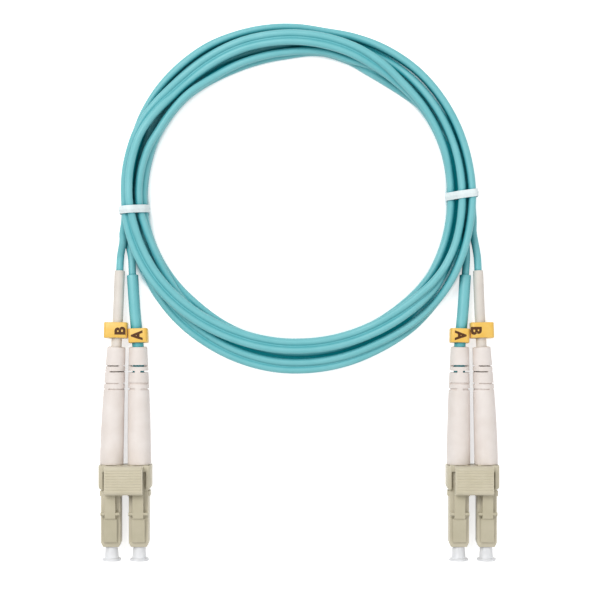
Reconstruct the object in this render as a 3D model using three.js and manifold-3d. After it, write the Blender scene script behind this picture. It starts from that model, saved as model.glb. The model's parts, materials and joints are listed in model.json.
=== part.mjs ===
// Duplex fibre optic patch cord: two pairs of small form factor plugs on one zip cord, wound in a coil.
// Millimetres. +Z is up and the floor is Z = 0. The coil lies at +Y and the plugs point to -Y.
import * as THREE from "three";
import { mergeVertices } from "three/addons/utils/BufferGeometryUtils.js";
import Module from "manifold-3d";

// Layout of the two ends
const pairOffset = 39.13;
const pitch = 6.25;

// Fits
const fitGap = 0.1;
const bootGap = 0.15;

// Plug housing
const housingSize = 4.4;
const housingLength = 12.6;
const housingCorner = 0.2;
const noseBevel = 0.4;
const noseBevelLength = 1.0;
const recessDiameter = 3.2;
const recessDepth = 4.3;
const stopWall = 0.6;
const stopHole = 2.0;
const chamberDiameter = 3.2;
const rimStep = 0.3;
const rimLength = 1.2;
const rimHeight = 3.4;

// Latch lever, cantilevered from the nose
const latchWidth = 2.95;
const latchThickness = 0.65;
const latchRootFront = 1.05;
const latchRootLength = 0.85;
const latchLift = 0.25;
const latchRise = 0.3;
const latchStepAt = 6.5;
const latchStep = 0.45;
const lugWidth = 4.3;
const lugFront = 7.1;
const lugLength = 0.85;
const tailWidth = 2.4;
const tailRise = 0.4;
const tailEnd = 15.3;

// Ferrule, flange and spring
const ferruleDiameter = 1.25;
const ferruleOut = 1.9;
const socketDepth = 1.0;
const flangeDiameter = 2.8;
const flangeLength = 1.6;
const stemDiameter = 1.65;
const stemLength = 2.2;
const bufferDiameter = 0.9;
const springWire = 0.3;
const springDiameter = 2.7;
const springTurns = 5;

// Rear body and crimp
const plugInLength = 1.4;
const collarSize = 4.2;
const collarLength = 5.85;
const postDiameter = 2.5;
const postLength = 4.5;
const postRings = 2;
const postRingDepth = 0.1;
const bodyBore = 1.4;
const crimpWall = 0.25;
const crimpStart = 0.4;
const crimpNeck = 2.6;
const bufferInJacket = 1.0;

// Dust cap
const capDiameter = 2.74;
const capNeckDiameter = 3.2;
const capInside = 3.4;
const capTip = 0.8;
const capFootDiameter = 4.3;
const capFootLength = 0.55;

// Duplex clip and its trigger
const clipWidth = 11.8;
const clipLength = 5.4;
const clipSetback = 0.35;
const clipFloor = 0.8;
const clipRoof = 0.7;
const clipSlot = 3.4;
const clipCorner = 0.9;
const bridgeWidth = 8.0;
const bridgeLength = 1.4;
const bridgeHeight = 0.6;
const triggerWidth = 8.5;
const triggerLength = 6.3;
const triggerPlate = 1.2;
const triggerSkirt = 0.6;
const triggerSkirtDepth = 0.5;
const triggerClearance = 0.3;
const triggerFoot = 1.1;
const triggerRibs = 9;
const triggerRibHeight = 0.12;
const triggerRibInset = 0.3;
const triggerEdge = 0.4;

// Boots
const bootLength = 26.5;
const bootFrontDiameter = 5.3;
const bootTailDiameter = { a: 4.15, b: 4.1 };
const bootLean = { a: 0.3, b: -1.05 };
const bootTurn = { a: 0, b: -45 };
const slitWidth = 0.45;
const slitsFromTail = [4.25, 5.55];
const groovesFromTail = [8.2, 9.5];
const grooveDepth = 0.35;
const slitSpread = 148;

// Cords and what is on the legs
const cordDiameter = 1.7;
const zipSpacing = 1.8;
const waistHeight = 0.8;
const lobeSwell = 1.02;
const sleeveDiameter = { a: 2.6, b: 2.35 };
const sleeveGap = 0.15;
const sleeveTop = { a: 40.3, b: 41.3 };
const sleeveInBoot = 6.8;
const markerWidth = { a: 4.4, b: 5.3 };
const markerLength = { a: 3.2, b: 3.5 };
const markerHeight = 3.9;
const markerY = { a: 26.6, b: 27.8 };
const markerShift = { a: -0.26, b: 0.26 };
const markerSlot = 0.35;

// Coil and its bands
const coilY = 57.4;
const stepAngle = 10;
const strandGap = 0.5;
const bandWidth = 1.75;
const bandThickness = 0.3;
const bandGap = 0.1;
const bandAngle = { left: -93.6, right: 88.4 };

const wasm = await Module();
wasm.setup();

// Solids and geometries

function solidOf(geometry) {
  const bare = geometry.clone();
  bare.deleteAttribute("normal");
  bare.deleteAttribute("uv");
  const merged = mergeVertices(bare, 1e-4);
  return new wasm.Manifold(
    new wasm.Mesh({
      numProp: 3,
      vertProperties: new Float32Array(merged.attributes.position.array),
      triVerts: new Uint32Array(merged.index.array),
    }),
  );
}

function geometryOf(solid) {
  const mesh = solid.getMesh();
  const geometry = new THREE.BufferGeometry();
  geometry.setAttribute("position", new THREE.BufferAttribute(mesh.vertProperties, 3));
  geometry.setIndex(new THREE.BufferAttribute(mesh.triVerts, 1));
  geometry.computeVertexNormals();
  return geometry;
}

function join(geometries) {
  return geometryOf(geometries.map(solidOf).reduce((whole, piece) => whole.add(piece)));
}

function cut(geometry, tools) {
  return geometryOf(tools.map(solidOf).reduce((whole, tool) => whole.subtract(tool), solidOf(geometry)));
}

function box(width, length, height, x, y, z) {
  return new THREE.BoxGeometry(width, length, height).translate(x, y, z);
}

// A bar along Y between two distances, centred on the axis
function rod(diameter, y0, y1, sides) {
  const bar = new THREE.CylinderGeometry(diameter / 2, diameter / 2, y1 - y0, sides);
  return bar.translate(0, (y0 + y1) / 2, 0);
}

// Turns a closed outline of [radius, y] points about the Y axis
function turned(outline, sides) {
  const points = outline.map(([r, y]) => new THREE.Vector2(r, y));
  const clockwise = THREE.ShapeUtils.isClockWise(points);
  if (clockwise) points.reverse();
  return new THREE.LatheGeometry([...points, points[0].clone()], sides);
}

// Pushes a shape drawn in X and Z along +Y, from y0 to y1
function alongY(shape, y0, y1, curveSegments = 4) {
  const body = new THREE.ExtrudeGeometry(shape, { depth: y1 - y0, bevelEnabled: false, curveSegments });
  return body.rotateX(Math.PI / 2).translate(0, y1, 0);
}

// Pushes an outline of [y, z] points across X, centred on x
function acrossX(outline, width, x = 0) {
  const shape = new THREE.Shape(outline.map(([y, z]) => new THREE.Vector2(y, z)));
  const body = new THREE.ExtrudeGeometry(shape, { depth: width, bevelEnabled: false });
  const turn = new THREE.Matrix4().makeBasis(
    new THREE.Vector3(0, 1, 0),
    new THREE.Vector3(0, 0, 1),
    new THREE.Vector3(1, 0, 0),
  );
  return body.applyMatrix4(turn).translate(x - width / 2, 0, 0);
}

function roundedBox(width, height, radius, x = 0, z = 0) {
  const [w, h, shape] = [width / 2, height / 2, new THREE.Shape()];
  shape.moveTo(x + w, z - h + radius);
  shape.absarc(x + w - radius, z + h - radius, radius, 0, Math.PI / 2);
  shape.absarc(x - w + radius, z + h - radius, radius, Math.PI / 2, Math.PI);
  shape.absarc(x - w + radius, z - h + radius, radius, Math.PI, Math.PI * 1.5);
  shape.absarc(x + w - radius, z - h + radius, radius, Math.PI * 1.5, Math.PI * 2);
  return shape;
}

// Places along the plug's axis, behind the nose face

const chamberStart = recessDepth + stopWall;
const bodyFront = housingLength - plugInLength;
const collarEnd = housingLength + collarLength;
const postEnd = collarEnd + postLength;
const clipStart = housingLength + clipSetback;
const clipEnd = clipStart + clipLength;
const bootStart = collarEnd;
const bootEnd = bootStart + bootLength;
const holeHalf = collarSize / 2 + fitGap;
const axisHeight = clipFloor + holeHalf;
const housingTop = housingSize / 2;
const clipTop = holeHalf + clipRoof;
const capReach = ferruleOut + capTip + capFootLength;
const noseY = capReach - (bootEnd + capReach) / 2;

// Pieces of one plug, on its own axis

function housing() {
  const square = (size) => roundedBox(size, size, housingCorner).getPoints(2).slice(0, -1);
  const sections = [
    [0, square(housingSize - 2 * noseBevel)],
    [noseBevelLength, square(housingSize)],
    [housingLength, square(housingSize)],
  ];
  const [across, up] = [new THREE.Vector3(1, 0, 0), new THREE.Vector3(0, 0, 1)];
  const shell = skin(sections.map(([y, section]) => ring(new THREE.Vector3(0, y, 0), across, up, section)));
  const rim = box(
    housingSize + 2 * rimStep,
    rimLength,
    rimHeight,
    0,
    housingLength - rimLength / 2,
    0,
  );
  const hollow = turned(
    [
      [0, -1],
      [recessDiameter / 2, -1],
      [recessDiameter / 2, recessDepth],
      [stopHole / 2, recessDepth],
      [stopHole / 2, chamberStart],
      [chamberDiameter / 2, chamberStart],
      [chamberDiameter / 2, housingLength + 1],
      [0, housingLength + 1],
    ],
    14,
  );
  return cut(join([shell, rim]), [hollow]);
}

function latch() {
  const rootEnd = latchRootFront + latchRootLength;
  const armLow = housingTop + latchLift;
  const stepLow = armLow + latchRise;
  const tailLow = stepLow + tailRise;
  const overlap = 0.3;
  const arm = [
    [latchRootFront, housingTop],
    [rootEnd, housingTop],
    [rootEnd + 0.3, armLow],
    [latchStepAt, stepLow],
    [latchStepAt, stepLow + latchThickness],
    [latchRootFront + 0.2, housingTop + latchThickness],
    [latchRootFront, housingTop + latchThickness - 0.2],
  ];
  const tail = [
    [latchStepAt - overlap, stepLow],
    [latchStepAt, stepLow],
    [tailEnd, tailLow + latchStep],
    [tailEnd, tailLow + latchStep + latchThickness],
    [latchStepAt + 0.15, stepLow + latchStep + latchThickness],
    [latchStepAt - overlap, stepLow + latchThickness - 0.1],
  ];
  const lug = [
    [lugFront, stepLow + 0.1],
    [lugFront + lugLength, stepLow + 0.1],
    [lugFront + lugLength, stepLow + latchStep + latchThickness],
    [lugFront + 0.35, stepLow + latchStep + latchThickness],
    [lugFront, stepLow + latchThickness],
  ];
  return join([acrossX(arm, latchWidth), acrossX(tail, tailWidth), acrossX(lug, lugWidth)]);
}

function ferrule() {
  const r = ferruleDiameter / 2;
  const tip = -ferruleOut;
  const end = chamberStart + socketDepth;
  return turned(
    [
      [0, tip],
      [r - 0.2, tip],
      [r, tip + 0.25],
      [r, end],
      [0, end],
    ],
    12,
  );
}

function flange() {
  const back = chamberStart + flangeLength;
  const socket = ferruleDiameter / 2 + 0.02;
  const bore = bufferDiameter / 2 + fitGap / 2;
  const socketEnd = chamberStart + socketDepth;
  const collar = new THREE.CylinderGeometry(flangeDiameter / 2, flangeDiameter / 2, flangeLength, 6);
  collar.translate(0, (chamberStart + back) / 2, 0);
  const stem = rod(stemDiameter, back - 0.1, back + stemLength, 12);
  const hole = turned(
    [
      [0, chamberStart - 1],
      [socket, chamberStart - 1],
      [socket, socketEnd],
      [bore, socketEnd],
      [bore, back + stemLength + 1],
      [0, back + stemLength + 1],
    ],
    12,
  );
  return cut(join([collar, stem]), [hole]);
}

// A round wire wound between the flange and the rear body
function spring() {
  const start = chamberStart + flangeLength + springWire / 2;
  const end = bodyFront - springWire / 2;
  const radius = (springDiameter - springWire) / 2;
  const steps = springTurns * 7;
  const rings = [];
  for (let i = 0; i <= steps; i++) {
    const turn = (i / steps) * springTurns * Math.PI * 2;
    const y = start + (end - start) * (i / steps);
    const centre = new THREE.Vector3(Math.cos(turn) * radius, y, Math.sin(turn) * radius);
    const out = new THREE.Vector3(Math.cos(turn), 0, Math.sin(turn));
    const along = new THREE.Vector3(0, 1, 0);
    rings.push(ring(centre, out, along, circle(springWire / 2, 5)));
  }
  return skin(rings);
}

// Rear body: plugs into the housing, a square collar for the clip, then a ringed crimp post
function rearBody() {
  const inner = rod(chamberDiameter - 2 * fitGap, bodyFront, housingLength + 0.1, 14);
  const collar = alongY(roundedBox(collarSize, collarSize, 0.3), housingLength, collarEnd, 1);
  const bore = rod(bodyBore, bodyFront - 1, postEnd + 1, 10);
  const crest = postDiameter / 2;
  const ringLength = postLength / (2 * postRings + 1);
  const outline = [[0, collarEnd - 0.1], [crest - postRingDepth, collarEnd - 0.1]];
  for (let i = 0; i < postRings; i++) {
    const y = collarEnd + ringLength * (2 * i + 1);
    outline.push([crest - postRingDepth, y], [crest, y], [crest, y + ringLength]);
    outline.push([crest - postRingDepth, y + ringLength]);
  }
  outline.push([crest - postRingDepth, postEnd], [0, postEnd]);
  return cut(join([inner, collar, turned(outline, 12)]), [bore]);
}

// Round over the post, drawn in over the jacket
function crimp() {
  const inside = postDiameter / 2 + fitGap;
  const neck = cordDiameter / 2 + fitGap;
  const start = collarEnd + crimpStart;
  const shoulder = postEnd + 0.15;
  return turned(
    [
      [inside, start],
      [inside + crimpWall, start],
      [inside + crimpWall, shoulder],
      [neck + crimpWall, shoulder + 0.45],
      [neck + crimpWall, shoulder + crimpNeck],
      [neck, shoulder + crimpNeck],
      [neck, shoulder + 0.3],
      [inside, shoulder - 0.1],
    ],
    12,
  );
}

function buffer() {
  return rod(bufferDiameter, chamberStart + socketDepth, postEnd + bufferInJacket, 10);
}

function cap() {
  const r = capDiameter / 2;
  const bore = ferruleDiameter / 2 + fitGap / 2;
  const end = -capReach;
  const foot = end + capFootLength;
  return turned(
    [
      [0, end],
      [capFootDiameter / 2 - 0.1, end],
      [capFootDiameter / 2, end + 0.1],
      [capFootDiameter / 2, foot],
      [capNeckDiameter / 2, foot],
      [r, 0],
      [r, capInside - 0.2],
      [r - 0.2, capInside],
      [bore, capInside],
      [bore, -ferruleOut - fitGap],
      [0, -ferruleOut - fitGap],
    ],
    16,
  );
}

// Boot: swells from tail to front, slit right through near its tail, and grooved further on

function bootRadius(fromTail, leg) {
  const tail = bootTailDiameter[leg] / 2;
  const swell = Math.sin((Math.PI / 2) * Math.min(1, Math.max(0, fromTail / bootLength)));
  return tail + (bootFrontDiameter / 2 - tail) * swell;
}

function leanAt(y, leg) {
  const t = Math.max(0, (y - bootStart) / bootLength);
  return bootLean[leg] * t ** 1.4;
}

// Two opposite sectors of a disc, as tools that leave a web on each side
function slitTools(y, innerRadius, outerRadius, turn) {
  const half = THREE.MathUtils.degToRad(slitSpread / 2);
  return [0, Math.PI].map((side) => {
    const sector = new THREE.Shape();
    const middle = Math.PI / 2 + THREE.MathUtils.degToRad(turn) + side;
    sector.absarc(0, 0, outerRadius, middle - half, middle + half, false);
    sector.absarc(0, 0, innerRadius, middle + half, middle - half, true);
    sector.closePath();
    return alongY(sector, y - slitWidth / 2, y + slitWidth / 2, 3);
  });
}

function boot(leg, side) {
  const sleeveBore = sleeveDiameter[leg] / 2 + bootGap;
  const cordBore = cordDiameter / 2 + bootGap * 2;
  const chamber = postDiameter / 2 + fitGap + crimpWall + bootGap * 1.5;
  const chamberEnd = postEnd + crimpNeck + 0.5;
  const sleeveStart = bootEnd - sleeveInBoot - 0.4;
  const outline = [];
  const stages = 6;
  for (let i = 0; i <= stages; i++) {
    const fromTail = bootLength * (1 - i / stages);
    outline.push([bootRadius(fromTail, leg), bootEnd - fromTail]);
  }
  outline.push(
    [sleeveBore, bootEnd],
    [sleeveBore, sleeveStart],
    [cordBore, sleeveStart - 0.4],
    [cordBore, chamberEnd + 0.6],
    [chamber, chamberEnd],
    [chamber, bootStart],
  );
  const tools = [];
  slitsFromTail.forEach((fromTail, i) => {
    const turn = bootTurn[leg] + 90 * i;
    tools.push(...slitTools(bootEnd - fromTail, sleeveBore * 0.8, bootFrontDiameter, turn));
  });
  groovesFromTail.forEach((fromTail, i) => {
    const turn = bootTurn[leg] + 90 * i;
    const floor = bootRadius(fromTail, leg) - grooveDepth;
    tools.push(...slitTools(bootEnd - fromTail, floor, bootFrontDiameter, turn));
  });
  const body = cut(turned(outline, 16), tools);
  const places = body.attributes.position;
  for (let i = 0; i < places.count; i++) {
    const mirrored = places.getX(i) * side;
    places.setX(i, mirrored + side * leanAt(places.getY(i), leg));
  }
  return side < 0 ? geometryOf(solidOf(flipped(body))) : body;
}

// Turns every face round, for a shape whose X was mirrored
function flipped(geometry) {
  const faces = geometry.index.array;
  for (let i = 0; i < faces.length; i += 3) {
    const kept = faces[i];
    faces[i] = faces[i + 1];
    faces[i + 1] = kept;
  }
  return geometry;
}

// Duplex clip: two cradles, open above for the latch tails, closed at the back by a bridge

function clip() {
  const height = clipFloor + holeHalf * 2 + clipRoof;
  const middle = clipTop - height / 2;
  const outline = roundedBox(clipWidth, height, clipCorner, 0, middle);
  const shell = alongY(outline, clipStart, clipEnd, 3);
  const bridge = box(
    bridgeWidth,
    bridgeLength,
    bridgeHeight + clipRoof,
    0,
    clipEnd - bridgeLength / 2,
    clipTop + (bridgeHeight - clipRoof) / 2,
  );
  const cradles = [-pitch / 2, pitch / 2].map((x) =>
    box(holeHalf * 2, clipLength + 2, holeHalf * 2, x, (clipStart + clipEnd) / 2, 0),
  );
  const slotEnd = clipEnd - bridgeLength;
  const slots = [-pitch / 2, pitch / 2].map((x) =>
    box(clipSlot, slotEnd - clipStart + 1, clipRoof * 4, x, (slotEnd + clipStart - 1) / 2, clipTop),
  );
  const corners = [-1, 1].map((side) => frontCorner(side, height, middle));
  return cut(join([cut(shell, slots), bridge]), [...cradles, ...corners]);
}

// What rounds a front corner of the clip off, seen from above
function frontCorner(side, height, middle) {
  const wall = (side * clipWidth) / 2;
  const shape = new THREE.Shape();
  shape.moveTo(wall - side * clipCorner, clipStart - 1);
  shape.lineTo(wall - side * clipCorner, clipStart);
  shape.quadraticCurveTo(wall, clipStart, wall, clipStart + clipCorner);
  shape.lineTo(wall + side, clipStart + clipCorner);
  shape.lineTo(wall + side, clipStart - 1);
  shape.closePath();
  const tool = new THREE.ExtrudeGeometry(shape, { depth: height + 2, bevelEnabled: false, curveSegments: 3 });
  return tool.translate(0, 0, middle - height / 2 - 1);
}

const bridgeTop = clipTop + bridgeHeight;
const tailTop = housingTop + latchLift + latchRise + tailRise + latchStep + latchThickness;
const skirtBottom = tailTop + triggerClearance;
const triggerTop = skirtBottom + triggerSkirtDepth + triggerPlate;
const triggerBack = clipEnd;
const triggerFront = triggerBack - triggerLength;
const hingeY = triggerBack - triggerFoot;

// Trigger plate: a foot on the bridge, a ribbed plate, and a skirt that reaches the latch tails
function trigger() {
  const plateBottom = triggerTop - triggerPlate;
  const side = [
    [triggerBack, bridgeTop],
    [triggerBack, triggerTop - triggerEdge],
    [triggerBack - triggerEdge, triggerTop],
    [triggerFront + triggerEdge, triggerTop],
    [triggerFront, triggerTop - triggerEdge],
    [triggerFront, skirtBottom],
    [hingeY, skirtBottom],
    [hingeY, bridgeTop],
  ];
  const body = acrossX(side, triggerWidth);
  const hollow = box(
    triggerWidth - 2 * triggerSkirt,
    hingeY - triggerFront - 2 * triggerSkirt,
    triggerSkirtDepth + 1,
    0,
    (hingeY + triggerFront) / 2,
    plateBottom - (triggerSkirtDepth + 1) / 2,
  );
  const ribPitch = (triggerLength - 2 * triggerEdge) / triggerRibs;
  const ribWidth = ribPitch * 0.6;
  const ribs = [];
  for (let i = 0; i < triggerRibs; i++) {
    const y = triggerFront + triggerEdge + ribPitch * (i + 0.5);
    const profile = [
      [y - ribWidth / 2, triggerTop - 0.1],
      [y + ribWidth / 2, triggerTop - 0.1],
      [y + ribWidth / 4, triggerTop + triggerRibHeight],
      [y - ribWidth / 4, triggerTop + triggerRibHeight],
    ];
    ribs.push(acrossX(profile, triggerWidth - 2 * triggerRibInset));
  }
  return join([cut(body, [hollow]), ...ribs]);
}

// Swept skins

function circle(radius, sides) {
  return Array.from({ length: sides }, (_, i) => {
    const turn = (i / sides) * Math.PI * 2;
    return [Math.cos(turn) * radius, Math.sin(turn) * radius];
  });
}

function ring(centre, across, up, section) {
  return section.map(([u, v]) => centre.clone().addScaledVector(across, u).addScaledVector(up, v));
}

// One closed skin through rings of equally many points, with flat ends
function skin(rings) {
  const sides = rings[0].length;
  const places = rings.flat().flatMap((p) => p.toArray());
  const faces = [];
  for (let i = 0; i + 1 < rings.length; i++) {
    for (let k = 0; k < sides; k++) {
      const [a, b] = [i * sides + k, i * sides + ((k + 1) % sides)];
      faces.push(a, b, b + sides, a, b + sides, a + sides);
    }
  }
  const first = rings[0];
  const middle = (points) => points.reduce((sum, p) => sum.add(p), new THREE.Vector3()).divideScalar(sides);
  [first, rings.at(-1)].forEach((end) => places.push(...middle(end).toArray()));
  const hub = rings.length * sides;
  const last = hub - sides;
  for (let k = 0; k < sides; k++) {
    faces.push(hub, (k + 1) % sides, k);
    faces.push(hub + 1, last + k, last + ((k + 1) % sides));
  }
  const geometry = new THREE.BufferGeometry();
  geometry.setAttribute("position", new THREE.Float32BufferAttribute(places, 3));
  geometry.setIndex(faces);
  return solidOf(geometry).volume() < 0 ? flipped(geometry) : geometry;
}

// Coil route: stations of [angle, radius, layer height, roll], angle clockwise from +Y, roll 0 lies flat
// and 90 stands on edge. low and mid are the heights of flat strands, edge and edgeOver of strands on edge.

const low = cordDiameter / 2;
const mid = low + cordDiameter + strandGap;
const zipHalf = (zipSpacing + cordDiameter) / 2;
const edge = zipHalf;
const edgeOver = cordDiameter + strandGap + zipHalf;

const route = [
  [-101, 40.0, edge - 0.15, 55],
  [-97, 39.45, edge, 80],
  [-93, 39.25, edge, 90],
  [-84, 39.25, edge, 90],
  [-72, 39.55, edge, 90],
  [-60, 40.1, edge, 90],
  [-48, 40.35, edge, 90],
  [-33, 40.3, edge, 90],
  [-20, 39.75, edge, 90],
  [-8, 39.2, edge, 90],
  [0, 38.8, edge, 90],
  [9, 38.35, edge + 0.05, 90],
  [19, 38.65, edge + 0.6, 90],
  [32, 39.1, 3.2, 90],
  [46, 39.3, edgeOver, 90],
  [62, 39.2, edgeOver, 90],
  [76, 39.05, edgeOver, 90],
  [90, 38.95, edgeOver, 90],
  [101, 38.85, edgeOver, 90],
  [112, 38.85, edgeOver - 0.1, 90],
  [120, 38.83, 3.0, 90],
  [130, 38.6, 1.8, 102],
  [138, 38.35, 1.64, 120],
  [146, 37.95, 1.5, 135],
  [155, 37.7, 1.35, 148],
  [166, 37.68, 1.23, 157],
  [176, 37.7, 1.17, 161],
  [190, 37.82, 1.13, 163],
  [210, 37.8, 1.12, 164],
  [226, 37.9, 1.06, 168],
  [238, 37.75, low + 0.07, 176],
  [247, 37.3, low, 180],
  [253, 37.0, low, 180],
  [259, 36.4, low, 180],
  [270, 36.05, low, 180],
  [285, 36.15, low, 180],
  [300, 36.35, low, 180],
  [311, 36.65, low, 180],
  [319, 36.9, low, 180],
  [328, 36.75, low, 180],
  [338, 36.3, low, 180],
  [347, 36.0, low, 180],
  [353, 36.0, 1.2, 200],
  [359, 36.05, 1.6, 232],
  [365, 36.05, 1.75, 262],
  [371, 36.1, edge, 270],
  [380, 36.4, edge, 270],
  [388, 36.75, 1.9, 270],
  [396, 37.03, 2.8, 270],
  [404, 37.05, 3.7, 270],
  [411, 37.05, edgeOver, 270],
  [430, 36.9, edgeOver, 270],
  [450, 36.7, edgeOver, 270],
  [464, 36.65, edgeOver, 272],
  [474, 36.45, 4.1, 285],
  [482, 36.0, 4.6, 310],
  [490, 35.2, 4.75, 335],
  [498, 34.5, 4.3, 352],
  [506, 34.0, 3.55, 360],
  [515, 33.55, mid + 0.05, 360],
  [526, 33.25, mid, 360],
  [537, 33.15, mid, 360],
  [550, 33.35, mid, 360],
  [562, 33.75, mid + 0.05, 360],
  [572, 34.35, 3.4, 360],
  [582, 35.15, 3.9, 360],
  [592, 36.05, 4.6, 360],
  [604, 37.1, 5.1, 358],
  [615, 37.85, 5.4, 348],
  [624, 38.3, 5.5, 325],
  [631, 38.6, 5.6, 306],
  [641, 38.95, 5.6, 305],
  [650, 39.0, 5.55, 307],
  [657, 38.65, 5.4, 318],
  [664, 38.0, 4.8, 335],
  [671, 37.45, 3.75, 355],
  [678, 37.25, 3.2, 360],
  [686, 37.2, 3.15, 360],
  [693, 37.15, 3.45, 360],
  [700, 37.0, 3.95, 360],
  [709, 36.7, 4.4, 360],
  [718, 36.4, 4.7, 360],
  [730, 35.95, 4.9, 362],
  [740, 35.6, 4.95, 372],
  [750, 35.1, 4.9, 395],
  [763, 34.65, 4.4, 432],
  [775, 34.75, edgeOver, 445],
  [790, 34.65, 3.4, 450],
  [804, 34.5, edge + 0.15, 450],
  [814, 34.45, edge, 450],
  [836, 34.4, edge, 450],
  [846, 34.3, 1.72, 470],
  [854, 34.15, 1.55, 495],
  [862, 34.0, 1.22, 520],
  [872, 33.85, low, 540],
  [900, 33.75, low, 540],
  [920, 33.8, low, 540],
  [934, 33.9, low + 0.06, 543],
  [944, 33.98, 1.28, 565],
  [951, 34.1, 1.6, 590],
  [958, 34.2, 1.85, 612],
  [966, 34.4, 2.5, 626],
  [973, 34.6, 3.36, 629],
  [980, 35.0, 3.85, 622],
  [988, 35.5, 3.9, 603],
  [998, 35.65, 3.87, 600],
  [1008, 35.5, 3.9, 610],
  [1017, 35.0, 3.95, 628],
  [1026, 34.65, 3.85, 630],
  [1034, 34.3, 3.45, 630],
  [1041, 33.8, 2.6, 630],
  [1048, 33.45, 1.85, 622],
  [1056, 33.2, edge, 612],
  [1066, 33.08, edge, 610],
  [1074, 33.12, edge, 612],
  [1079, 33.32, edge, 618],
  [1084, 33.62, edge, 626],
  [1090, 33.85, edge, 630],
  [1099, 33.55, edge, 630],
  [1107, 33.65, 1.61, 592],
  [1114, 33.95, 1.22, 560],
  [1120, 34.35, low, 540],
  [1127, 35.1, low, 540],
  [1136, 36.5, low, 540],
  [1146, 37.75, low, 540],
  [1155, 38.4, low, 540],
  [1164, 38.35, low, 540],
  [1170, 38.3, low, 540],
  [1178, 39.0, low, 540],
];

// A smooth curve through points that never swings past them
function smooth(xs, ys) {
  const slopes = xs.slice(1).map((x, i) => (ys[i + 1] - ys[i]) / (x - xs[i]));
  const tangents = xs.map((_, i) => {
    if (i === 0 || i === xs.length - 1) return slopes[Math.min(i, slopes.length - 1)];
    const [before, after] = [slopes[i - 1], slopes[i]];
    return before * after <= 0 ? 0 : (2 * before * after) / (before + after);
  });
  return (x) => {
    const i = Math.max(0, Math.min(xs.length - 2, xs.findLastIndex((start) => start <= x)));
    const width = xs[i + 1] - xs[i];
    const t = (x - xs[i]) / width;
    const [a, b] = [tangents[i] * width, tangents[i + 1] * width];
    const rise = ys[i + 1] - ys[i];
    return ys[i] + t * (a + t * (3 * rise - 2 * a - b + t * (a + b - 2 * rise)));
  };
}

const stations = [0, 1, 2, 3].map((k) => route.map((station) => station[k]));
const radiusAt = smooth(stations[0], stations[1]);
const heightAt = smooth(stations[0], stations[2]);
const rollAt = smooth(stations[0], stations[3]);

// The strands rise over each band, which passes beneath them
function liftAt(angle) {
  const turns = (from) => Math.abs(((((angle - from) % 360) + 540) % 360) - 180);
  const nearest = Math.min(turns(bandAngle.left), turns(bandAngle.right));
  return (bandThickness + bandGap) * Math.exp(-((nearest / 9) ** 2));
}

function polar(angle, radius, height) {
  const turn = THREE.MathUtils.degToRad(angle);
  return new THREE.Vector3(Math.sin(turn) * radius, coilY + Math.cos(turn) * radius, height);
}

function coilPoint(angle) {
  return polar(angle, radiusAt(angle), heightAt(angle) + liftAt(angle));
}

// Centre, tangent, and the directions across and up of the zip cord at an angle
function coilFrame(angle) {
  const centre = coilPoint(angle);
  const tangent = coilPoint(angle + 0.5).sub(coilPoint(angle - 0.5)).normalize();
  const outward = polar(angle, 1, 0).sub(new THREE.Vector3(0, coilY, 0));
  outward.addScaledVector(tangent, -outward.dot(tangent)).normalize();
  const above = new THREE.Vector3().crossVectors(tangent, outward).normalize();
  if (above.z < 0) above.negate();
  const roll = THREE.MathUtils.degToRad(rollAt(angle));
  const across = outward.clone().multiplyScalar(Math.cos(roll)).addScaledVector(above, Math.sin(roll));
  const up = above.clone().multiplyScalar(Math.cos(roll)).addScaledVector(outward, -Math.sin(roll));
  return { centre, tangent, across, up };
}

// Two round lobes joined at a waist
function zipSection() {
  const half = [];
  for (let turn = -112.5; turn <= 112.5; turn += 45) {
    const angle = THREE.MathUtils.degToRad(turn);
    const radius = (cordDiameter / 2) * lobeSwell;
    half.push([zipSpacing / 2 + Math.cos(angle) * radius, Math.sin(angle) * radius]);
  }
  const waist = waistHeight / 2;
  return [...half, [0, waist], ...half.map(([u, v]) => [-u, -v]), [0, -waist]];
}

const coilStart = stations[0][0];
const coilEnd = stations[0].at(-1);
const bandStep = THREE.MathUtils.radToDeg((bandWidth * 0.6) / route[0][1]);

// Even steps, the same on every turn, with one step exactly as wide as each band
function coilAngles() {
  const bands = Object.values(bandAngle);
  const away = (a, b) => Math.abs(((((a - b) % 360) + 540) % 360) - 180);
  const angles = [coilStart, coilEnd];
  for (let a = Math.ceil(coilStart / stepAngle) * stepAngle; a < coilEnd; a += stepAngle) {
    const clear = bands.every((b) => away(a, b) > bandStep * 2);
    if (clear && a - coilStart > bandStep && coilEnd - a > bandStep) angles.push(a);
  }
  for (const b of bands) {
    for (let a = b; a < coilEnd; a += 360) angles.push(a - bandStep, a + bandStep);
  }
  return angles.filter((a) => a >= coilStart && a <= coilEnd).sort((a, b) => a - b);
}

function lobes(angle) {
  const { centre, across } = coilFrame(angle);
  const reach = across.clone().multiplyScalar(zipSpacing / 2);
  return [centre.clone().add(reach), centre.clone().sub(reach)];
}

// Least gap between strands that pass each other, measured at the same angles on every turn
function leastGap() {
  let least = { gap: Infinity };
  for (let a = coilStart; a <= coilEnd; a += 3) {
    const here = lobes(a);
    for (let b = a + 345; b <= coilEnd; b += 3) {
      const there = lobes(b);
      here.forEach((p) =>
        there.forEach((q) => {
          const gap = p.distanceTo(q) - cordDiameter * lobeSwell;
          if (gap < least.gap) least = { gap, a, b };
        }),
      );
    }
  }
  return least;
}

function coil() {
  const section = zipSection();
  return skin(coilAngles().map((a) => {
    const { centre, across, up } = coilFrame(a);
    return ring(centre, across, up, section);
  }));
}

// Legs: from the zip cord's end, through a sleeve and the boot, to the crimp

const legWaypoints = {
  a: [
    [38.0, 44.6, 1.0],
    [37.7, 40.3, 1.45],
    [37.1, 32.4, 2.35],
  ],
  b: [
    [40.45, 44.6, 1.0],
    [40.6, 41.4, 1.35],
    [40.85, 32.4, 2.35],
  ],
};

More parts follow.
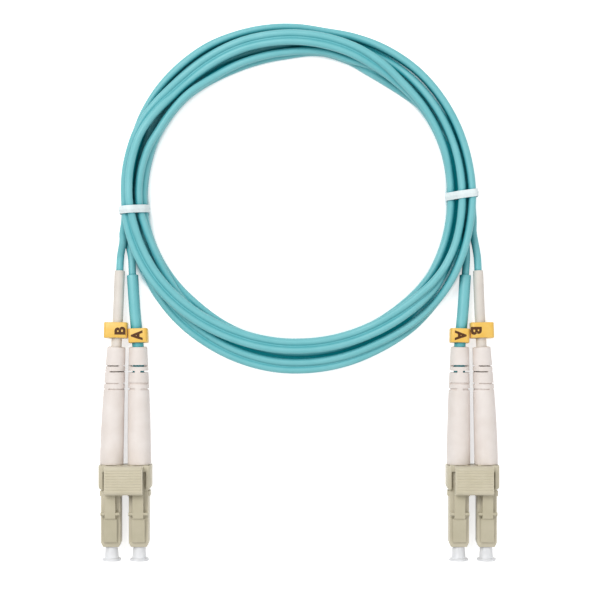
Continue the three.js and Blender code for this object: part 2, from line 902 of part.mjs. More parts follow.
function plugX(leg, side) {
  return side * (pairOffset + (leg === "b" ? pitch : -pitch) / 2);
}

function legCurve(leg, side) {
  const atLeft = side < 0;
  const frame = coilFrame(atLeft ? coilStart : coilEnd);
  const ends = lobes(atLeft ? coilStart : coilEnd).sort((p, q) => Math.abs(q.x) - Math.abs(p.x));
  const start = leg === "b" ? ends[0] : ends[1];
  const away = frame.tangent.clone().multiplyScalar(atLeft ? -1 : 1);
  const x = plugX(leg, side);
  const inBoot = [bootLength, bootLength * 0.75, bootLength * 0.5].map(
    (d) => new THREE.Vector3(x + side * leanAt(bootStart + d, leg), noseY + bootStart + d, axisHeight),
  );
  const end = noseY + postEnd;
  return new THREE.CatmullRomCurve3([
    start,
    start.clone().addScaledVector(away, cordDiameter),
    ...legWaypoints[leg].map(([px, py, pz]) => new THREE.Vector3(side * px, py, pz)),
    ...inBoot,
    new THREE.Vector3(x, end + 3, axisHeight),
    new THREE.Vector3(x, end, axisHeight),
  ], false, "centripetal");
}

function discShape(radius, sides, holeRadius) {
  const points = (r) => circle(r, sides).map(([u, v]) => new THREE.Vector2(u, v));
  const shape = new THREE.Shape(points(radius));
  if (holeRadius) shape.holes.push(new THREE.Path(points(holeRadius)));
  return shape;
}

function tube(curve, shape, steps) {
  return new THREE.ExtrudeGeometry(shape, { extrudePath: curve, steps, bevelEnabled: false });
}

function legCord(leg, side) {
  const cord = tube(legCurve(leg, side), discShape(cordDiameter / 2, 8), 17);
  const end = noseY + postEnd;
  const bore = rod(bufferDiameter + 2 * fitGap, end - 1, end + bufferInJacket + 1.2, 8);
  return cut(cord, [bore.translate(plugX(leg, side), 0, axisHeight)]);
}

// The point of a leg's curve at a given Y, which falls all the way from the coil to the plug
function pointAtY(curve, y) {
  let [t0, t1] = [0, 1];
  for (let i = 0; i < 30; i++) {
    const t = (t0 + t1) / 2;
    if (curve.getPoint(t).y > y) t0 = t;
    else t1 = t;
  }
  return curve.getPoint((t0 + t1) / 2);
}

function legSleeve(leg, side) {
  const curve = legCurve(leg, side);
  const top = sleeveTop[leg];
  const bottom = noseY + bootEnd - sleeveInBoot;
  const count = 7;
  const points = Array.from({ length: count }, (_, i) => {
    const share = i / (count - 1);
    return pointAtY(curve, top + (bottom - top) * share);
  });
  const bore = cordDiameter / 2 + sleeveGap;
  return tube(new THREE.CatmullRomCurve3(points), discShape(sleeveDiameter[leg] / 2, 8, bore), 6);
}

// Marker ring: a clip-on ring with a flat top, split on its far side
function marker(leg, side) {
  const curve = legCurve(leg, side);
  const shift = side * markerShift[leg];
  const width = markerWidth[leg];
  const length = markerLength[leg];
  const body = alongY(roundedBox(width, markerHeight, 0.8, shift, 0), -length / 2, length / 2, 3);
  const bore = rod(sleeveDiameter[leg] + 2 * bootGap, -length, length, 12);
  const away = Math.sign(shift);
  const split = box(width, length * 2, markerSlot, (away * width) / 2, 0, 0);
  const piece = cut(body, [bore, split]);
  const centre = pointAtY(curve, markerY[leg]);
  const ahead = pointAtY(curve, markerY[leg] + 1).sub(pointAtY(curve, markerY[leg] - 1)).normalize();
  const turn = new THREE.Quaternion().setFromUnitVectors(new THREE.Vector3(0, 1, 0), ahead);
  return { piece, centre, turn };
}

// Bands: a flat strap round all the strands
function band(where) {
  const angle = bandAngle[where];
  const spots = [];
  for (let at = angle; at <= coilEnd; at += 360) {
    for (const a of [at - bandStep, at + bandStep]) {
      spots.push(...lobes(a).map((p) => new THREE.Vector2(Math.hypot(p.x, p.y - coilY), p.z)));
    }
  }
  const half = cordDiameter / 2;
  const inner = Math.min(...spots.map((p) => p.x)) - half - bandGap;
  const outer = Math.max(...spots.map((p) => p.x)) + half + bandGap;
  const top = Math.max(...spots.map((p) => p.y)) + half + bandGap;
  const width = outer - inner;
  const height = top - bandThickness;
  const middle = (top + bandThickness) / 2;
  const radius = half + bandGap;
  const [outerWidth, outerHeight] = [width + 2 * bandThickness, height + 2 * bandThickness];
  const strap = roundedBox(outerWidth, outerHeight, radius + bandThickness, 0, middle);
  strap.holes.push(roundedBox(width, height, radius, 0, middle));
  const piece = alongY(strap, -bandWidth / 2, bandWidth / 2, 3);
  const spot = polar(angle, (inner + outer) / 2, 0);
  return { piece, spot, turn: Math.PI / 2 - THREE.MathUtils.degToRad(angle) };
}

// Assembly

const patchCord = new THREE.Group();

function add(parent, name, geometry, colour, roughness, metalness = 0) {
  const material = new THREE.MeshStandardMaterial({ color: colour, roughness, metalness });
  const mesh = new THREE.Mesh(geometry, material);
  mesh.name = name;
  parent.add(mesh);
  return mesh;
}

const beige = 0xc9bd9f;
const aqua = 0x7fd0d6;
const aquaDeep = 0x55b7bf;
const warmWhite = 0xf0e8e4;
const capWhite = 0xf2f4f6;
const yellow = 0xffcd46;
const ceramic = 0xf7f6f2;
const steel = 0xb9bcc0;
const bandWhite = 0xf7f7f8;

for (const [end, side] of [["left", -1], ["right", 1]]) {
  const pair = new THREE.Group();
  pair.position.set(side * pairOffset, noseY, axisHeight);
  patchCord.add(pair);
  add(pair, `clip_${end}`, clip(), beige, 0.45);
  add(pair, `trigger_${end}`, trigger(), beige, 0.45);
  for (const leg of ["a", "b"]) {
    const plug = new THREE.Group();
    plug.position.x = plugX(leg, side) - side * pairOffset;
    pair.add(plug);
    const tag = `${end}_${leg}`;
    add(plug, `housing_${tag}`, housing(), beige, 0.45);
    add(plug, `latch_${tag}`, latch(), beige, 0.45);
    add(plug, `ferrule_${tag}`, ferrule(), ceramic, 0.2);
    add(plug, `flange_${tag}`, flange(), steel, 0.3, 0.9);
    add(plug, `spring_${tag}`, spring(), steel, 0.3, 0.9);
    add(plug, `body_${tag}`, rearBody(), beige, 0.45);
    add(plug, `crimp_${tag}`, crimp(), steel, 0.35, 0.9);
    add(plug, `buffer_${tag}`, buffer(), aqua, 0.4);
    add(plug, `cap_${tag}`, cap(), capWhite, 0.35);
    add(plug, `boot_${tag}`, boot(leg, side), warmWhite, 0.5);
    add(patchCord, `leg_${tag}`, legCord(leg, side), aqua, 0.45);
    const sleeveColour = leg === "a" ? aquaDeep : warmWhite;
    add(patchCord, `sleeve_${tag}`, legSleeve(leg, side), sleeveColour, 0.45);
    const { piece, centre, turn } = marker(leg, side);
    const mark = add(patchCord, `marker_${tag}`, piece, yellow, 0.4);
    mark.position.copy(centre);
    mark.quaternion.copy(turn);
  }
  const { piece, spot, turn } = band(end);
  const strap = add(patchCord, `band_${end}`, piece, bandWhite, 0.5);
  strap.position.copy(spot);
  strap.rotation.z = turn;
}

add(patchCord, "coil", coil(), aqua, 0.45);

const gap = leastGap();
console.log(`coil: least gap to itself ${gap.gap.toFixed(3)} mm, at ${gap.a} and ${gap.b} degrees`);

export default patchCord;
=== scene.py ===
# %% [markdown]
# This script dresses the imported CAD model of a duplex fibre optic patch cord. The plugs and clips stay as
# CAD made them, and get soft edges and a finish. What bends, and what is round, is built again here with
# many more sides, in the place where CAD has it. All sizes are in metres, so a millimetre is 0.001.

# %% Load the frame
import json
import math

import bmesh
import bpy
import numpy as np
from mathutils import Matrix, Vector


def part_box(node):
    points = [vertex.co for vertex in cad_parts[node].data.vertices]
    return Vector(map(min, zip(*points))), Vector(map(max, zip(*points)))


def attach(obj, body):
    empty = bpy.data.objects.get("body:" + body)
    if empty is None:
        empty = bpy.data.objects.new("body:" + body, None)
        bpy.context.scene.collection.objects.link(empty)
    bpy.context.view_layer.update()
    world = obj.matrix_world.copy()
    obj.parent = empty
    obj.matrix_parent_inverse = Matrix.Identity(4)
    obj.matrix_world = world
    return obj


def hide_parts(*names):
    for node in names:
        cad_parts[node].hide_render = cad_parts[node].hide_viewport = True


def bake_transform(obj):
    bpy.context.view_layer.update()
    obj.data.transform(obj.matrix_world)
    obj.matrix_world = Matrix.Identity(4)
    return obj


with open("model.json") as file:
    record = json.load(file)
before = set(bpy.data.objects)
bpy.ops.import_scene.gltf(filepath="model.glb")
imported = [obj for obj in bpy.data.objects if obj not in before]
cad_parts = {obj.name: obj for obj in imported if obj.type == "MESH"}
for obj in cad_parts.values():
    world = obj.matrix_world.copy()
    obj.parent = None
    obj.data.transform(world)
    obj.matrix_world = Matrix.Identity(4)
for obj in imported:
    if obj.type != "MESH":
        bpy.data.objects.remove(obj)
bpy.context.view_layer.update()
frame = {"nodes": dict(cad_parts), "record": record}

# %% [markdown]
# Some helpers serve every step. Dress puts a piece in the place of a CAD node: on the body that carries
# it, and the node is hidden. The others place objects, shade meshes, and measure lines and circles.

# %% Helpers
UP = [0, 0, 1.0]
ROOT = "cord"
# The middle point of a rounded edge lies this share of the edge's size in from both faces
ROUND = 0.3


def placed(name, data):
    """A new object in the scene for a mesh, a lamp or a camera."""
    new_object = bpy.data.objects.new(name, data)
    bpy.context.scene.collection.objects.link(new_object)
    return new_object


def dress(piece, node, body=ROOT):
    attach(piece, body)
    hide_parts(node)


def smooth(mesh, under):
    """Smooth shading wherever faces meet at less than that angle."""
    mesh.shade_smooth()
    mesh.set_sharp_from_angle(angle=math.radians(under))


def unit(vectors):
    return vectors / np.linalg.norm(vectors, axis=-1, keepdims=True)


def length_along(line):
    return np.concatenate([[0], np.cumsum(np.linalg.norm(np.diff(line, axis=0), axis=1))])


def sampled(at, along, points):
    """Where a line through points is, at given distances along it."""
    return np.stack([np.interp(at, along, column) for column in points.T], axis=-1)


def arc(turns, radius):
    """Points round the origin, at turns in radians."""
    return np.stack([np.cos(turns), np.sin(turns)], axis=1) * radius


print("helpers are ready, rounding edges at", ROUND)

# %% [markdown]
# The photograph looks straight down. Its scale comes from the plugs, which stand 6.25 mm and 27.7 pixels
# apart. A long lens from 0.4 m gives the slight outward lean of the raised trigger plates.

# %% Camera
FRAME_WIDTH, FRAME_HEIGHT = 600, 604
PIXELS_PER_METRE = 4430
MIDDLE_COLUMN = 298.9
ORIGIN_ROW = 453.6
SENSOR = 36.0
view_distance = 0.40
plug_height = (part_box("ferrule_left_a")[0].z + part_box("ferrule_left_a")[1].z) / 2

camera_data = bpy.data.cameras.new("camera")
camera_data.sensor_width = SENSOR
camera_data.lens = SENSOR * view_distance * PIXELS_PER_METRE / FRAME_HEIGHT
camera = placed("camera", camera_data)
camera.location = (
    (FRAME_WIDTH / 2 - MIDDLE_COLUMN) / PIXELS_PER_METRE,
    (ORIGIN_ROW - FRAME_HEIGHT / 2) / PIXELS_PER_METRE,
    plug_height + view_distance,
)
bpy.context.scene.camera = camera
print("lens:", round(camera_data.lens, 1), "mm at", tuple(round(v, 4) for v in camera.location))

# %% [markdown]
# Every plug piece is placed from the frame. A plug's axis is the middle of its housing, and all plugs
# start at one nose line. Leg a is the inner leg of each pair, and leg b the outer one.

# %% Places from the frame
SIDES = {"left": -1, "right": 1}
PLUGS = [(f"{end}_{leg}", end, leg) for end in SIDES for leg in ("a", "b")]


def plug_axis(end, leg):
    """X and Z of a plug's axis."""
    low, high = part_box(f"housing_{end}_{leg}")
    return (low.x + high.x) / 2, (low.z + high.z) / 2


nose_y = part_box("housing_left_a")[0].y
boot_start, boot_end = (corner.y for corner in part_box("boot_left_a"))
post_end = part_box("body_left_a")[1].y
print("nose at", round(nose_y, 5), "boots from", round(boot_start, 5), "to", round(boot_end, 5))

# %% [markdown]
# The cord, the legs, the boots and the caps are skins stretched over rings of points. A skin keeps where
# each point lies, round the ring and along it, in an attribute named lay, for finishes that follow it.

# %% Skins over rings


def volume(mesh):
    """The volume that the faces enclose, negative where they face inward."""
    mesh.calc_loop_triangles()
    corner = np.array([v.co for v in mesh.vertices], float)
    a, b, c = (corner[[t.vertices[i] for t in mesh.loop_triangles]] for i in range(3))
    return float((a * np.cross(b, c)).sum() / 6)


def skin(name, rings, closed=False, smooth_under=60):
    """A skin through rings of equally many points, with its ends capped or joined."""
    rings = np.array(rings, float)
    count, sides = rings.shape[:2]
    faces = []
    for i in range(count if closed else count - 1):
        here, there = i * sides, ((i + 1) % count) * sides
        for k in range(sides):
            after = (k + 1) % sides
            faces.append((here + k, here + after, there + after, there + k))
    if not closed:
        faces.append(tuple(range(sides))[::-1])
        faces.append(tuple(range((count - 1) * sides, count * sides)))
    mesh = bpy.data.meshes.new(name)
    mesh.from_pydata(rings.reshape(-1, 3).tolist(), [], faces)
    mesh.validate()
    smooth(mesh, smooth_under)
    if volume(mesh) < 0:
        mesh.flip_normals()
    lay = np.zeros((count, sides, 3))
    lay[:, :, 0] = np.abs(np.linspace(-1, 1, sides, endpoint=False))
    lay[:, :, 1] = length_along(rings.mean(axis=1))[:, None]
    attribute = mesh.attributes.new("lay", "FLOAT_VECTOR", "POINT")
    attribute.data.foreach_set("vector", lay.astype(np.float32).ravel())
    return placed(name, mesh)


print("skins keep where their points lie in the attribute lay")

# %% [markdown]
# The zip cord is wound three and a half times round. Its route is a list of stations: the angle clockwise
# from straight up, the distance from the coil's middle, the height, and the roll of the flat cord, where 0
# lies flat and 90 stands on edge. A curve that never swings past its stations joins them, so that close
# strands don't wander into each other.

# %% Sizes of the cord
cord_diameter = 0.0017
zip_spacing = 0.0018
waist_height = 0.0008
strand_gap = 0.0005
coil_y = 0.0574
band_lift = 0.0004
BAND_REACH = 9
TANGENT_STEP = 0.5
BAND_ANGLE = {"left": -93.6, "right": 88.4}

# Heights of strands that lie flat, in two layers, and of strands on edge, on the floor or over others
low = cord_diameter / 2
mid = low + cord_diameter + strand_gap
zip_half = (zip_spacing + cord_diameter) / 2
edge = zip_half
edge_over = cord_diameter + strand_gap + zip_half
print("zip cord", round(2 * zip_half, 5), "wide, flat layers at", round(low, 5), round(mid, 5))

# %% Stations of the route
route = [
    (-101, 0.04, edge - 0.00015, 55), (-97, 0.03945, edge, 80), (-93, 0.03925, edge, 90),
    (-84, 0.03925, edge, 90), (-72, 0.03955, edge, 90), (-60, 0.0401, edge, 90), (-48, 0.04035, edge, 90),
    (-33, 0.0403, edge, 90), (-20, 0.03975, edge, 90), (-8, 0.0392, edge, 90), (0, 0.0388, edge, 90),
    (9, 0.03835, edge + 0.00005, 90), (19, 0.03865, edge + 0.0006, 90), (32, 0.0391, 0.0032, 90),
    (46, 0.0393, edge_over, 90), (62, 0.0392, edge_over, 90), (76, 0.03905, edge_over, 90),
    (90, 0.03895, edge_over, 90), (101, 0.03885, edge_over, 90), (112, 0.03885, edge_over - 0.0001, 90),
    (120, 0.03883, 0.003, 90), (130, 0.0386, 0.0018, 102), (138, 0.03835, 0.00164, 120),
    (146, 0.03795, 0.0015, 135), (155, 0.0377, 0.00135, 148), (166, 0.03768, 0.00123, 157),
    (176, 0.0377, 0.00117, 161), (190, 0.03782, 0.00113, 163), (210, 0.0378, 0.00112, 164),
    (226, 0.0379, 0.00106, 168), (238, 0.03775, low + 0.00007, 176), (247, 0.0373, low, 180),
    (253, 0.037, low, 180), (259, 0.0364, low, 180), (270, 0.03605, low, 180), (285, 0.03615, low, 180),
    (300, 0.03635, low, 180), (311, 0.03665, low, 180), (319, 0.0369, low, 180), (328, 0.03675, low, 180),
    (338, 0.0363, low, 180), (347, 0.036, low, 180), (353, 0.036, 0.0012, 200),
    (359, 0.03605, 0.0016, 232), (365, 0.03605, 0.00175, 262), (371, 0.0361, edge, 270),
    (380, 0.0364, edge, 270), (388, 0.03675, 0.0019, 270), (396, 0.03703, 0.0028, 270),
    (404, 0.03705, 0.0037, 270), (411, 0.03705, edge_over, 270), (430, 0.0369, edge_over, 270),
    (450, 0.0367, edge_over, 270), (464, 0.03665, edge_over, 272), (474, 0.03645, 0.0041, 285),
    (482, 0.036, 0.0046, 310), (490, 0.0352, 0.00475, 335), (498, 0.0345, 0.0043, 352),
    (506, 0.034, 0.00355, 360), (515, 0.03355, mid + 0.00005, 360), (526, 0.03325, mid, 360),
    (537, 0.03315, mid, 360), (550, 0.03335, mid, 360), (562, 0.03375, mid + 0.00005, 360),
    (572, 0.03435, 0.0034, 360), (582, 0.03515, 0.0039, 360), (592, 0.03605, 0.0046, 360),
    (604, 0.0371, 0.0051, 358), (615, 0.03785, 0.0054, 348), (624, 0.0383, 0.0055, 325),
    (631, 0.0386, 0.0056, 306), (641, 0.03895, 0.0056, 305), (650, 0.039, 0.00555, 307),
    (657, 0.03865, 0.0054, 318), (664, 0.038, 0.0048, 335), (671, 0.03745, 0.00375, 355),
    (678, 0.03725, 0.0032, 360), (686, 0.0372, 0.00315, 360), (693, 0.03715, 0.00345, 360),
    (700, 0.037, 0.00395, 360), (709, 0.0367, 0.0044, 360), (718, 0.0364, 0.0047, 360),
    (730, 0.03595, 0.0049, 362), (740, 0.0356, 0.00495, 372), (750, 0.0351, 0.0049, 395),
    (763, 0.03465, 0.0044, 432), (775, 0.03475, edge_over, 445), (790, 0.03465, 0.0034, 450),
    (804, 0.0345, edge + 0.00015, 450), (814, 0.03445, edge, 450), (836, 0.0344, edge, 450),
    (846, 0.0343, 0.00172, 470), (854, 0.03415, 0.00155, 495), (862, 0.034, 0.00122, 520),
    (872, 0.03385, low, 540), (900, 0.03375, low, 540), (920, 0.0338, low, 540),
    (934, 0.0339, low + 0.00006, 543), (944, 0.03398, 0.00128, 565), (951, 0.0341, 0.0016, 590),
    (958, 0.0342, 0.00185, 612), (966, 0.0344, 0.0025, 626), (973, 0.0346, 0.00336, 629),
    (980, 0.035, 0.00385, 622), (988, 0.0355, 0.0039, 603), (998, 0.03565, 0.00387, 600),
    (1008, 0.0355, 0.0039, 610), (1017, 0.035, 0.00395, 628), (1026, 0.03465, 0.00385, 630),
    (1034, 0.0343, 0.00345, 630), (1041, 0.0338, 0.0026, 630), (1048, 0.03345, 0.00185, 622),
    (1056, 0.0332, edge, 612), (1066, 0.03308, edge, 610), (1074, 0.03312, edge, 612),
    (1079, 0.03332, edge, 618), (1084, 0.03362, edge, 626), (1090, 0.03385, edge, 630),
    (1099, 0.03355, edge, 630), (1107, 0.03365, 0.00161, 592), (1114, 0.03395, 0.00122, 560),
    (1120, 0.03435, low, 540), (1127, 0.0351, low, 540), (1136, 0.0365, low, 540),
    (1146, 0.03775, low, 540), (1155, 0.0384, low, 540), (1164, 0.03835, low, 540),
    (1170, 0.0383, low, 540), (1178, 0.039, low, 540),
]
COIL_START, COIL_END = route[0][0], route[-1][0]
print(len(route), "stations over", round((COIL_END - COIL_START) / 360, 2), "turns")

# %% A curve that never swings past its stations


def monotone(xs, ys):
    """A smooth function of x through points, flat wherever the points turn back."""
    xs, ys = np.array(xs, float), np.array(ys, float)
    slopes = np.diff(ys) / np.diff(xs)
    before, after = slopes[:-1], slopes[1:]
    total = np.where(before * after > 0, before + after, 1)
    inner = np.where(before * after > 0, 2 * before * after / total, 0)
    tangents = np.concatenate([slopes[:1], inner, slopes[-1:]])

    def at(x):
        i = np.clip(np.searchsorted(xs, x, side="right") - 1, 0, len(xs) - 2)
        width = xs[i + 1] - xs[i]
        t = (x - xs[i]) / width
        a, b = tangents[i] * width, tangents[i + 1] * width
        rise = ys[i + 1] - ys[i]
        return ys[i] + t * (a + t * (3 * rise - 2 * a - b + t * (a + b - 2 * rise)))

    return at


station_angles, *columns = zip(*route)
radius_at, height_at, roll_at = (monotone(station_angles, column) for column in columns)
print("at its end the coil's radius is", float(radius_at(COIL_END)))

# %% [markdown]
# The bands pass under the strands, so the strands rise a little over each band. At every angle the flat
# cord has a centre, a direction, and the two directions across it, which turn with its roll.

# %% Frames along the coil


def polar(angle, radius, height):
    """A point of the coil's plane, from the angle clockwise from straight up."""
    turn = np.radians(angle)
    return np.stack([np.sin(turn) * radius, coil_y + np.cos(turn) * radius, height + 0 * turn], axis=-1)


def lift_at(angle):
    """How far a band lifts the strands, within a few degrees of it."""
    away = [np.abs((angle - middle + 180) % 360 - 180) for middle in BAND_ANGLE.values()]
    return band_lift * np.exp(-((np.minimum(*away) / BAND_REACH) ** 2))


def coil_point(angle):
    return polar(angle, radius_at(angle), height_at(angle) + lift_at(angle))


def coil_frame(angle):
    """Centres, tangents, and the directions across and up of the flat cord."""
    angle = np.array(angle, float)
    centre = coil_point(angle)
    tangent = unit(coil_point(angle + TANGENT_STEP) - coil_point(angle - TANGENT_STEP))
    out = polar(angle, 1.0, 0.0) - np.array([0, coil_y, 0])
    out = unit(out - (out * tangent).sum(-1, keepdims=True) * tangent)
    above = unit(np.cross(tangent, out))
    above = np.where(above[..., 2:] < 0, -above, above)
    roll = np.radians(roll_at(angle))[..., None]
    across = out * np.cos(roll) + above * np.sin(roll)
    up = above * np.cos(roll) - out * np.sin(roll)
    return centre, tangent, across, up


# %% The zip cord's section: two round lobes joined at a waist
LOBE_SIDES = 18
LOBE_OPEN = 152
lobe = arc(np.radians(np.linspace(-LOBE_OPEN, LOBE_OPEN, LOBE_SIDES)), low) + [zip_spacing / 2, 0]
section = np.concatenate([lobe, [[0, waist_height / 2]], -lobe, [[0, -waist_height / 2]]])
print("a section has", len(section), "points")

# %% Build the coil
STEP = 1.5
angles = np.linspace(COIL_START, COIL_END, int((COIL_END - COIL_START) / STEP) + 1)
coil_centres, _, coil_across, coil_up = coil_frame(angles)
coil_rings = coil_centres[:, None] + coil_across[:, None] * section[:, :1] + coil_up[:, None] * section[:, 1:]
coil = skin("zip_coil", coil_rings, smooth_under=50)
dress(coil, "coil")

# %% [markdown]
# At each end the zip cord splits into two legs, which rise through a sleeve and a boot to the plug. A
# centripetal curve goes through their points, because it doesn't loop where points stand close together.

# %% Legs' points
LEG_POINTS = {
    "a": [(0.0380, 0.0446, 0.0010), (0.0377, 0.0403, 0.00145), (0.0371, 0.0324, 0.00235)],
    "b": [(0.04045, 0.0446, 0.0010), (0.0406, 0.0414, 0.00135), (0.04085, 0.0324, 0.00235)],
}
BOOT_LEAN = {"a": 0.0003, "b": -0.00105}
LEAN_POWER = 1.4
leg_straight = 0.003
boot_length = boot_end - boot_start


def lean_at(y, leg):
    """How far a boot has bent outward from its plug's axis."""
    return BOOT_LEAN[leg] * np.maximum(0, (y - boot_start) / boot_length) ** LEAN_POWER


def plug_line(end, leg, y_from, y_to, count=12):
    """Points along a plug's axis, which leans where its boot does."""
    x, z = plug_axis(end, leg)
    ys = np.linspace(y_from, y_to, count)
    return np.stack([x + SIDES[end] * lean_at(ys, leg), ys, 0 * ys + z], axis=1)


def leg_points(end, leg):
    at = COIL_START if end == "left" else COIL_END
    centre, tangent, across, _ = coil_frame(at)
    tips = [centre + across * zip_spacing / 2, centre - across * zip_spacing / 2]
    tips.sort(key=lambda p: -abs(p[0]))
    start = tips[0] if leg == "b" else tips[1]
    away = tangent * (-1 if end == "left" else 1)
    x, z = plug_axis(end, leg)
    points = [start, start + away * cord_diameter]
    points += [(SIDES[end] * px, py, pz) for px, py, pz in LEG_POINTS[leg]]
    points += [*plug_line(end, leg, boot_end, (boot_start + boot_end) / 2, 3)]
    points += [(x, post_end + leg_straight, z), (x, post_end, z)]
    return np.array(points, float)


# %% A centripetal curve through points


def through(points, per_span=12):
    """Points along a centripetal curve that passes through every given point."""
    ends = [2 * points[0] - points[1], 2 * points[-1] - points[-2]]
    padded = np.concatenate([[ends[0]], points, [ends[1]]])
    knots = np.sqrt(np.linalg.norm(np.diff(padded, axis=0), axis=1))
    line = []
    for i in range(1, len(padded) - 2):
        p0, p1, p2, p3 = padded[i - 1 : i + 3]
        d0, d1, d2 = knots[i - 1 : i + 2]
        t1 = ((p1 - p0) / d0 - (p2 - p0) / (d0 + d1) + (p2 - p1) / d1) * d1
        t2 = ((p2 - p1) / d1 - (p3 - p1) / (d1 + d2) + (p3 - p2) / d2) * d1
        for t in np.arange(per_span) / per_span:
            line.append(
                p1 + t * t1 + t**2 * (3 * (p2 - p1) - 2 * t1 - t2) + t**3 * (2 * (p1 - p2) + t1 + t2)
            )
    return np.array([*line, points[-1]])


# %% Turned forms that follow a line


def swept(name, line, outline, sides, closed=True, smooth_under=40):
    """Turns an outline of (distance along the line, radius) points about a line that may bend."""
    along = length_along(line)
    tangent = unit(np.gradient(line, axis=0))
    across = unit(np.cross(tangent, UP))
    tracks = [line, across, np.cross(across, tangent)]
    circle = arc(np.linspace(0, 2 * np.pi, sides, endpoint=False), 1)
    rings = []
    for distance, radius in outline:
        centre, side, top = (sampled(distance, along, track) for track in tracks)
        rings.append(centre + radius * (circle[:, :1] * side + circle[:, 1:] * top))
    return skin(name, rings, closed=closed, smooth_under=smooth_under)


# %% Build the legs
LEG_STEPS = 90
LEG_SIDES = 20
leg_lines = {}
legs = {}
for tag, end, leg in PLUGS:
    line = leg_lines[tag] = through(leg_points(end, leg))
    total = length_along(line)[-1]
    outline = [(s, low) for s in np.linspace(0, total, LEG_STEPS)]
    legs[tag] = swept(f"leg_cord_{tag}", line, outline, LEG_SIDES, closed=False)
    dress(legs[tag], f"leg_{tag}")
    print(tag, "leg", round(total, 4), "m")

# %% [markdown]
# A sleeve slips over each leg at its boot: white on leg b, aqua on leg a. It is a short hose with a
# rounded lip.

# %% Sleeves
SLEEVE_DIAMETER = {"a": 0.0026, "b": 0.00235}
SLEEVE_TOP = {"a": 0.0403, "b": 0.0413}
sleeve_gap = 0.00015
sleeve_in_boot = 0.0068
lip = 0.00012
SLEEVE_SIDES = 36
SLEEVE_STEPS = 24


def part_of(line, y_from, y_to, count=40):
    """The stretch of a leg's line between two places on Y, evenly spaced."""
    ys = np.linspace(y_from, y_to, count)
    order = np.argsort(line[:, 1])
    return sampled(ys, line[order, 1], line[order])


def hose(name, line, outer, inner):
    """A short hose round a line, with rounded lips."""
    total = length_along(line)[-1]
    body = np.linspace(lip, total - lip, SLEEVE_STEPS)
    outline = [(s, outer) for s in body]
    outline += [(total - lip * ROUND, outer - lip * ROUND), (total, outer - lip)]
    outline += [(total, inner), *[(s, inner) for s in body[::-6]], (0, inner)]
    outline += [(0, outer - lip), (lip * ROUND, outer - lip * ROUND)]
    return swept(name, line, outline, SLEEVE_SIDES, smooth_under=70)


sleeves = {}
for tag, end, leg in PLUGS:
    stretch = part_of(leg_lines[tag], SLEEVE_TOP[leg], boot_end - sleeve_in_boot)
    sleeves[tag] = hose(f"leg_sleeve_{tag}", stretch, SLEEVE_DIAMETER[leg] / 2, low + sleeve_gap)
    dress(sleeves[tag], f"sleeve_{tag}")
print(len(sleeves), "sleeves")

# %% [markdown]
# A marker ring clips over each sleeve and carries the letter of its leg. It is a block with rounded
# corners and a round bore, split on its thickest side. One closed outline, round the outside and back
# round the bore, gives the open ring. The bore is loose, so a ring leans less to the side than its leg.

# %% Marker rings
MARKER_WIDTH = {"a": 0.0044, "b": 0.0053}
MARKER_LENGTH = {"a": 0.0032, "b": 0.0035}
MARKER_Y = {"a": 0.0266, "b": 0.0278}
MARKER_SHIFT = {"a": -0.00026, "b": 0.00026}
marker_height = 0.0039
marker_corner = 0.0008
marker_slot = 0.00035
marker_lean = 0.3
marker_ease = 0.00012
look_ahead = 0.001
bore_clearance = 0.0003
CORNER_POINTS = 8
BORE_POINTS = 40


def rounded_outline(width, height, radius):
    """Points round a rectangle with rounded corners, from the middle of its right side."""
    corners = []
    for quarter, (sx, sy) in enumerate([(1, 1), (-1, 1), (-1, -1), (1, -1)]):
        turns = np.radians(np.linspace(90 * quarter, 90 * quarter + 90, CORNER_POINTS))
        corners.append(arc(turns, radius) + [sx * (width / 2 - radius), sy * (height / 2 - radius)])
    return np.concatenate(corners)


def marker_outline(leg):
    """The open ring, split on its right side, where the block reaches further from the bore."""
    width, half_slot = MARKER_WIDTH[leg], marker_slot / 2
    outer = rounded_outline(width, marker_height, marker_corner)
    block = np.array([[width / 2, half_slot], *outer, [width / 2, -half_slot]])
    bore = SLEEVE_DIAMETER[leg] / 2 + bore_clearance
    opening = math.asin(half_slot / bore)
    turns = np.linspace(2 * np.pi - opening, opening, BORE_POINTS)
    return np.concatenate([block + [abs(MARKER_SHIFT[leg]), 0], arc(turns, bore)])


def inset(outline, amount):
    """A closed outline moved inward by an amount, along the normals of its corners."""
    before, after = np.roll(outline, 1, axis=0), np.roll(outline, -1, axis=0)
    along = unit(unit(outline - before) + unit(after - outline))
    return outline + amount * np.stack([-along[:, 1], along[:, 0]], axis=1)


# Depths and insets that round an end face
soft_end = [(0, marker_ease), (marker_ease * ROUND, marker_ease * ROUND), (marker_ease, 0)]
markers = {}
marker_frames = {}
for tag, end, leg in PLUGS:
    side = SIDES[end] * (1 if MARKER_SHIFT[leg] > 0 else -1)
    centre, ahead = part_of(leg_lines[tag], MARKER_Y[leg], MARKER_Y[leg] + look_ahead, 2)
    forward = unit((ahead - centre) * [marker_lean, 1, 1])
    right = unit(np.cross(forward, UP))
    up = np.cross(right, forward)
    half = MARKER_LENGTH[leg] / 2
    front = [(at - half, ease) for at, ease in soft_end]
    rings = []
    for depth, ease in front + [(-at, ease) for at, ease in front[::-1]]:
        shape = inset(marker_outline(leg), ease)
        place = centre + forward * depth
        rings.append(place + shape[:, :1] * right * side + shape[:, 1:] * up)
    markers[tag] = skin(f"marker_ring_{tag}", rings, smooth_under=50)
    dress(markers[tag], f"marker_{tag}")
    marker_frames[tag] = (centre, forward, up)
print(len(markers), "marker rings")

# %% [markdown]
# The letters A and B say which leg goes to which side of a port. Each is a text object turned into a thin
# mesh, fitted to its size in the photograph, and laid on the ring's flat top. On the left pair they read
# upward, on the right downward.

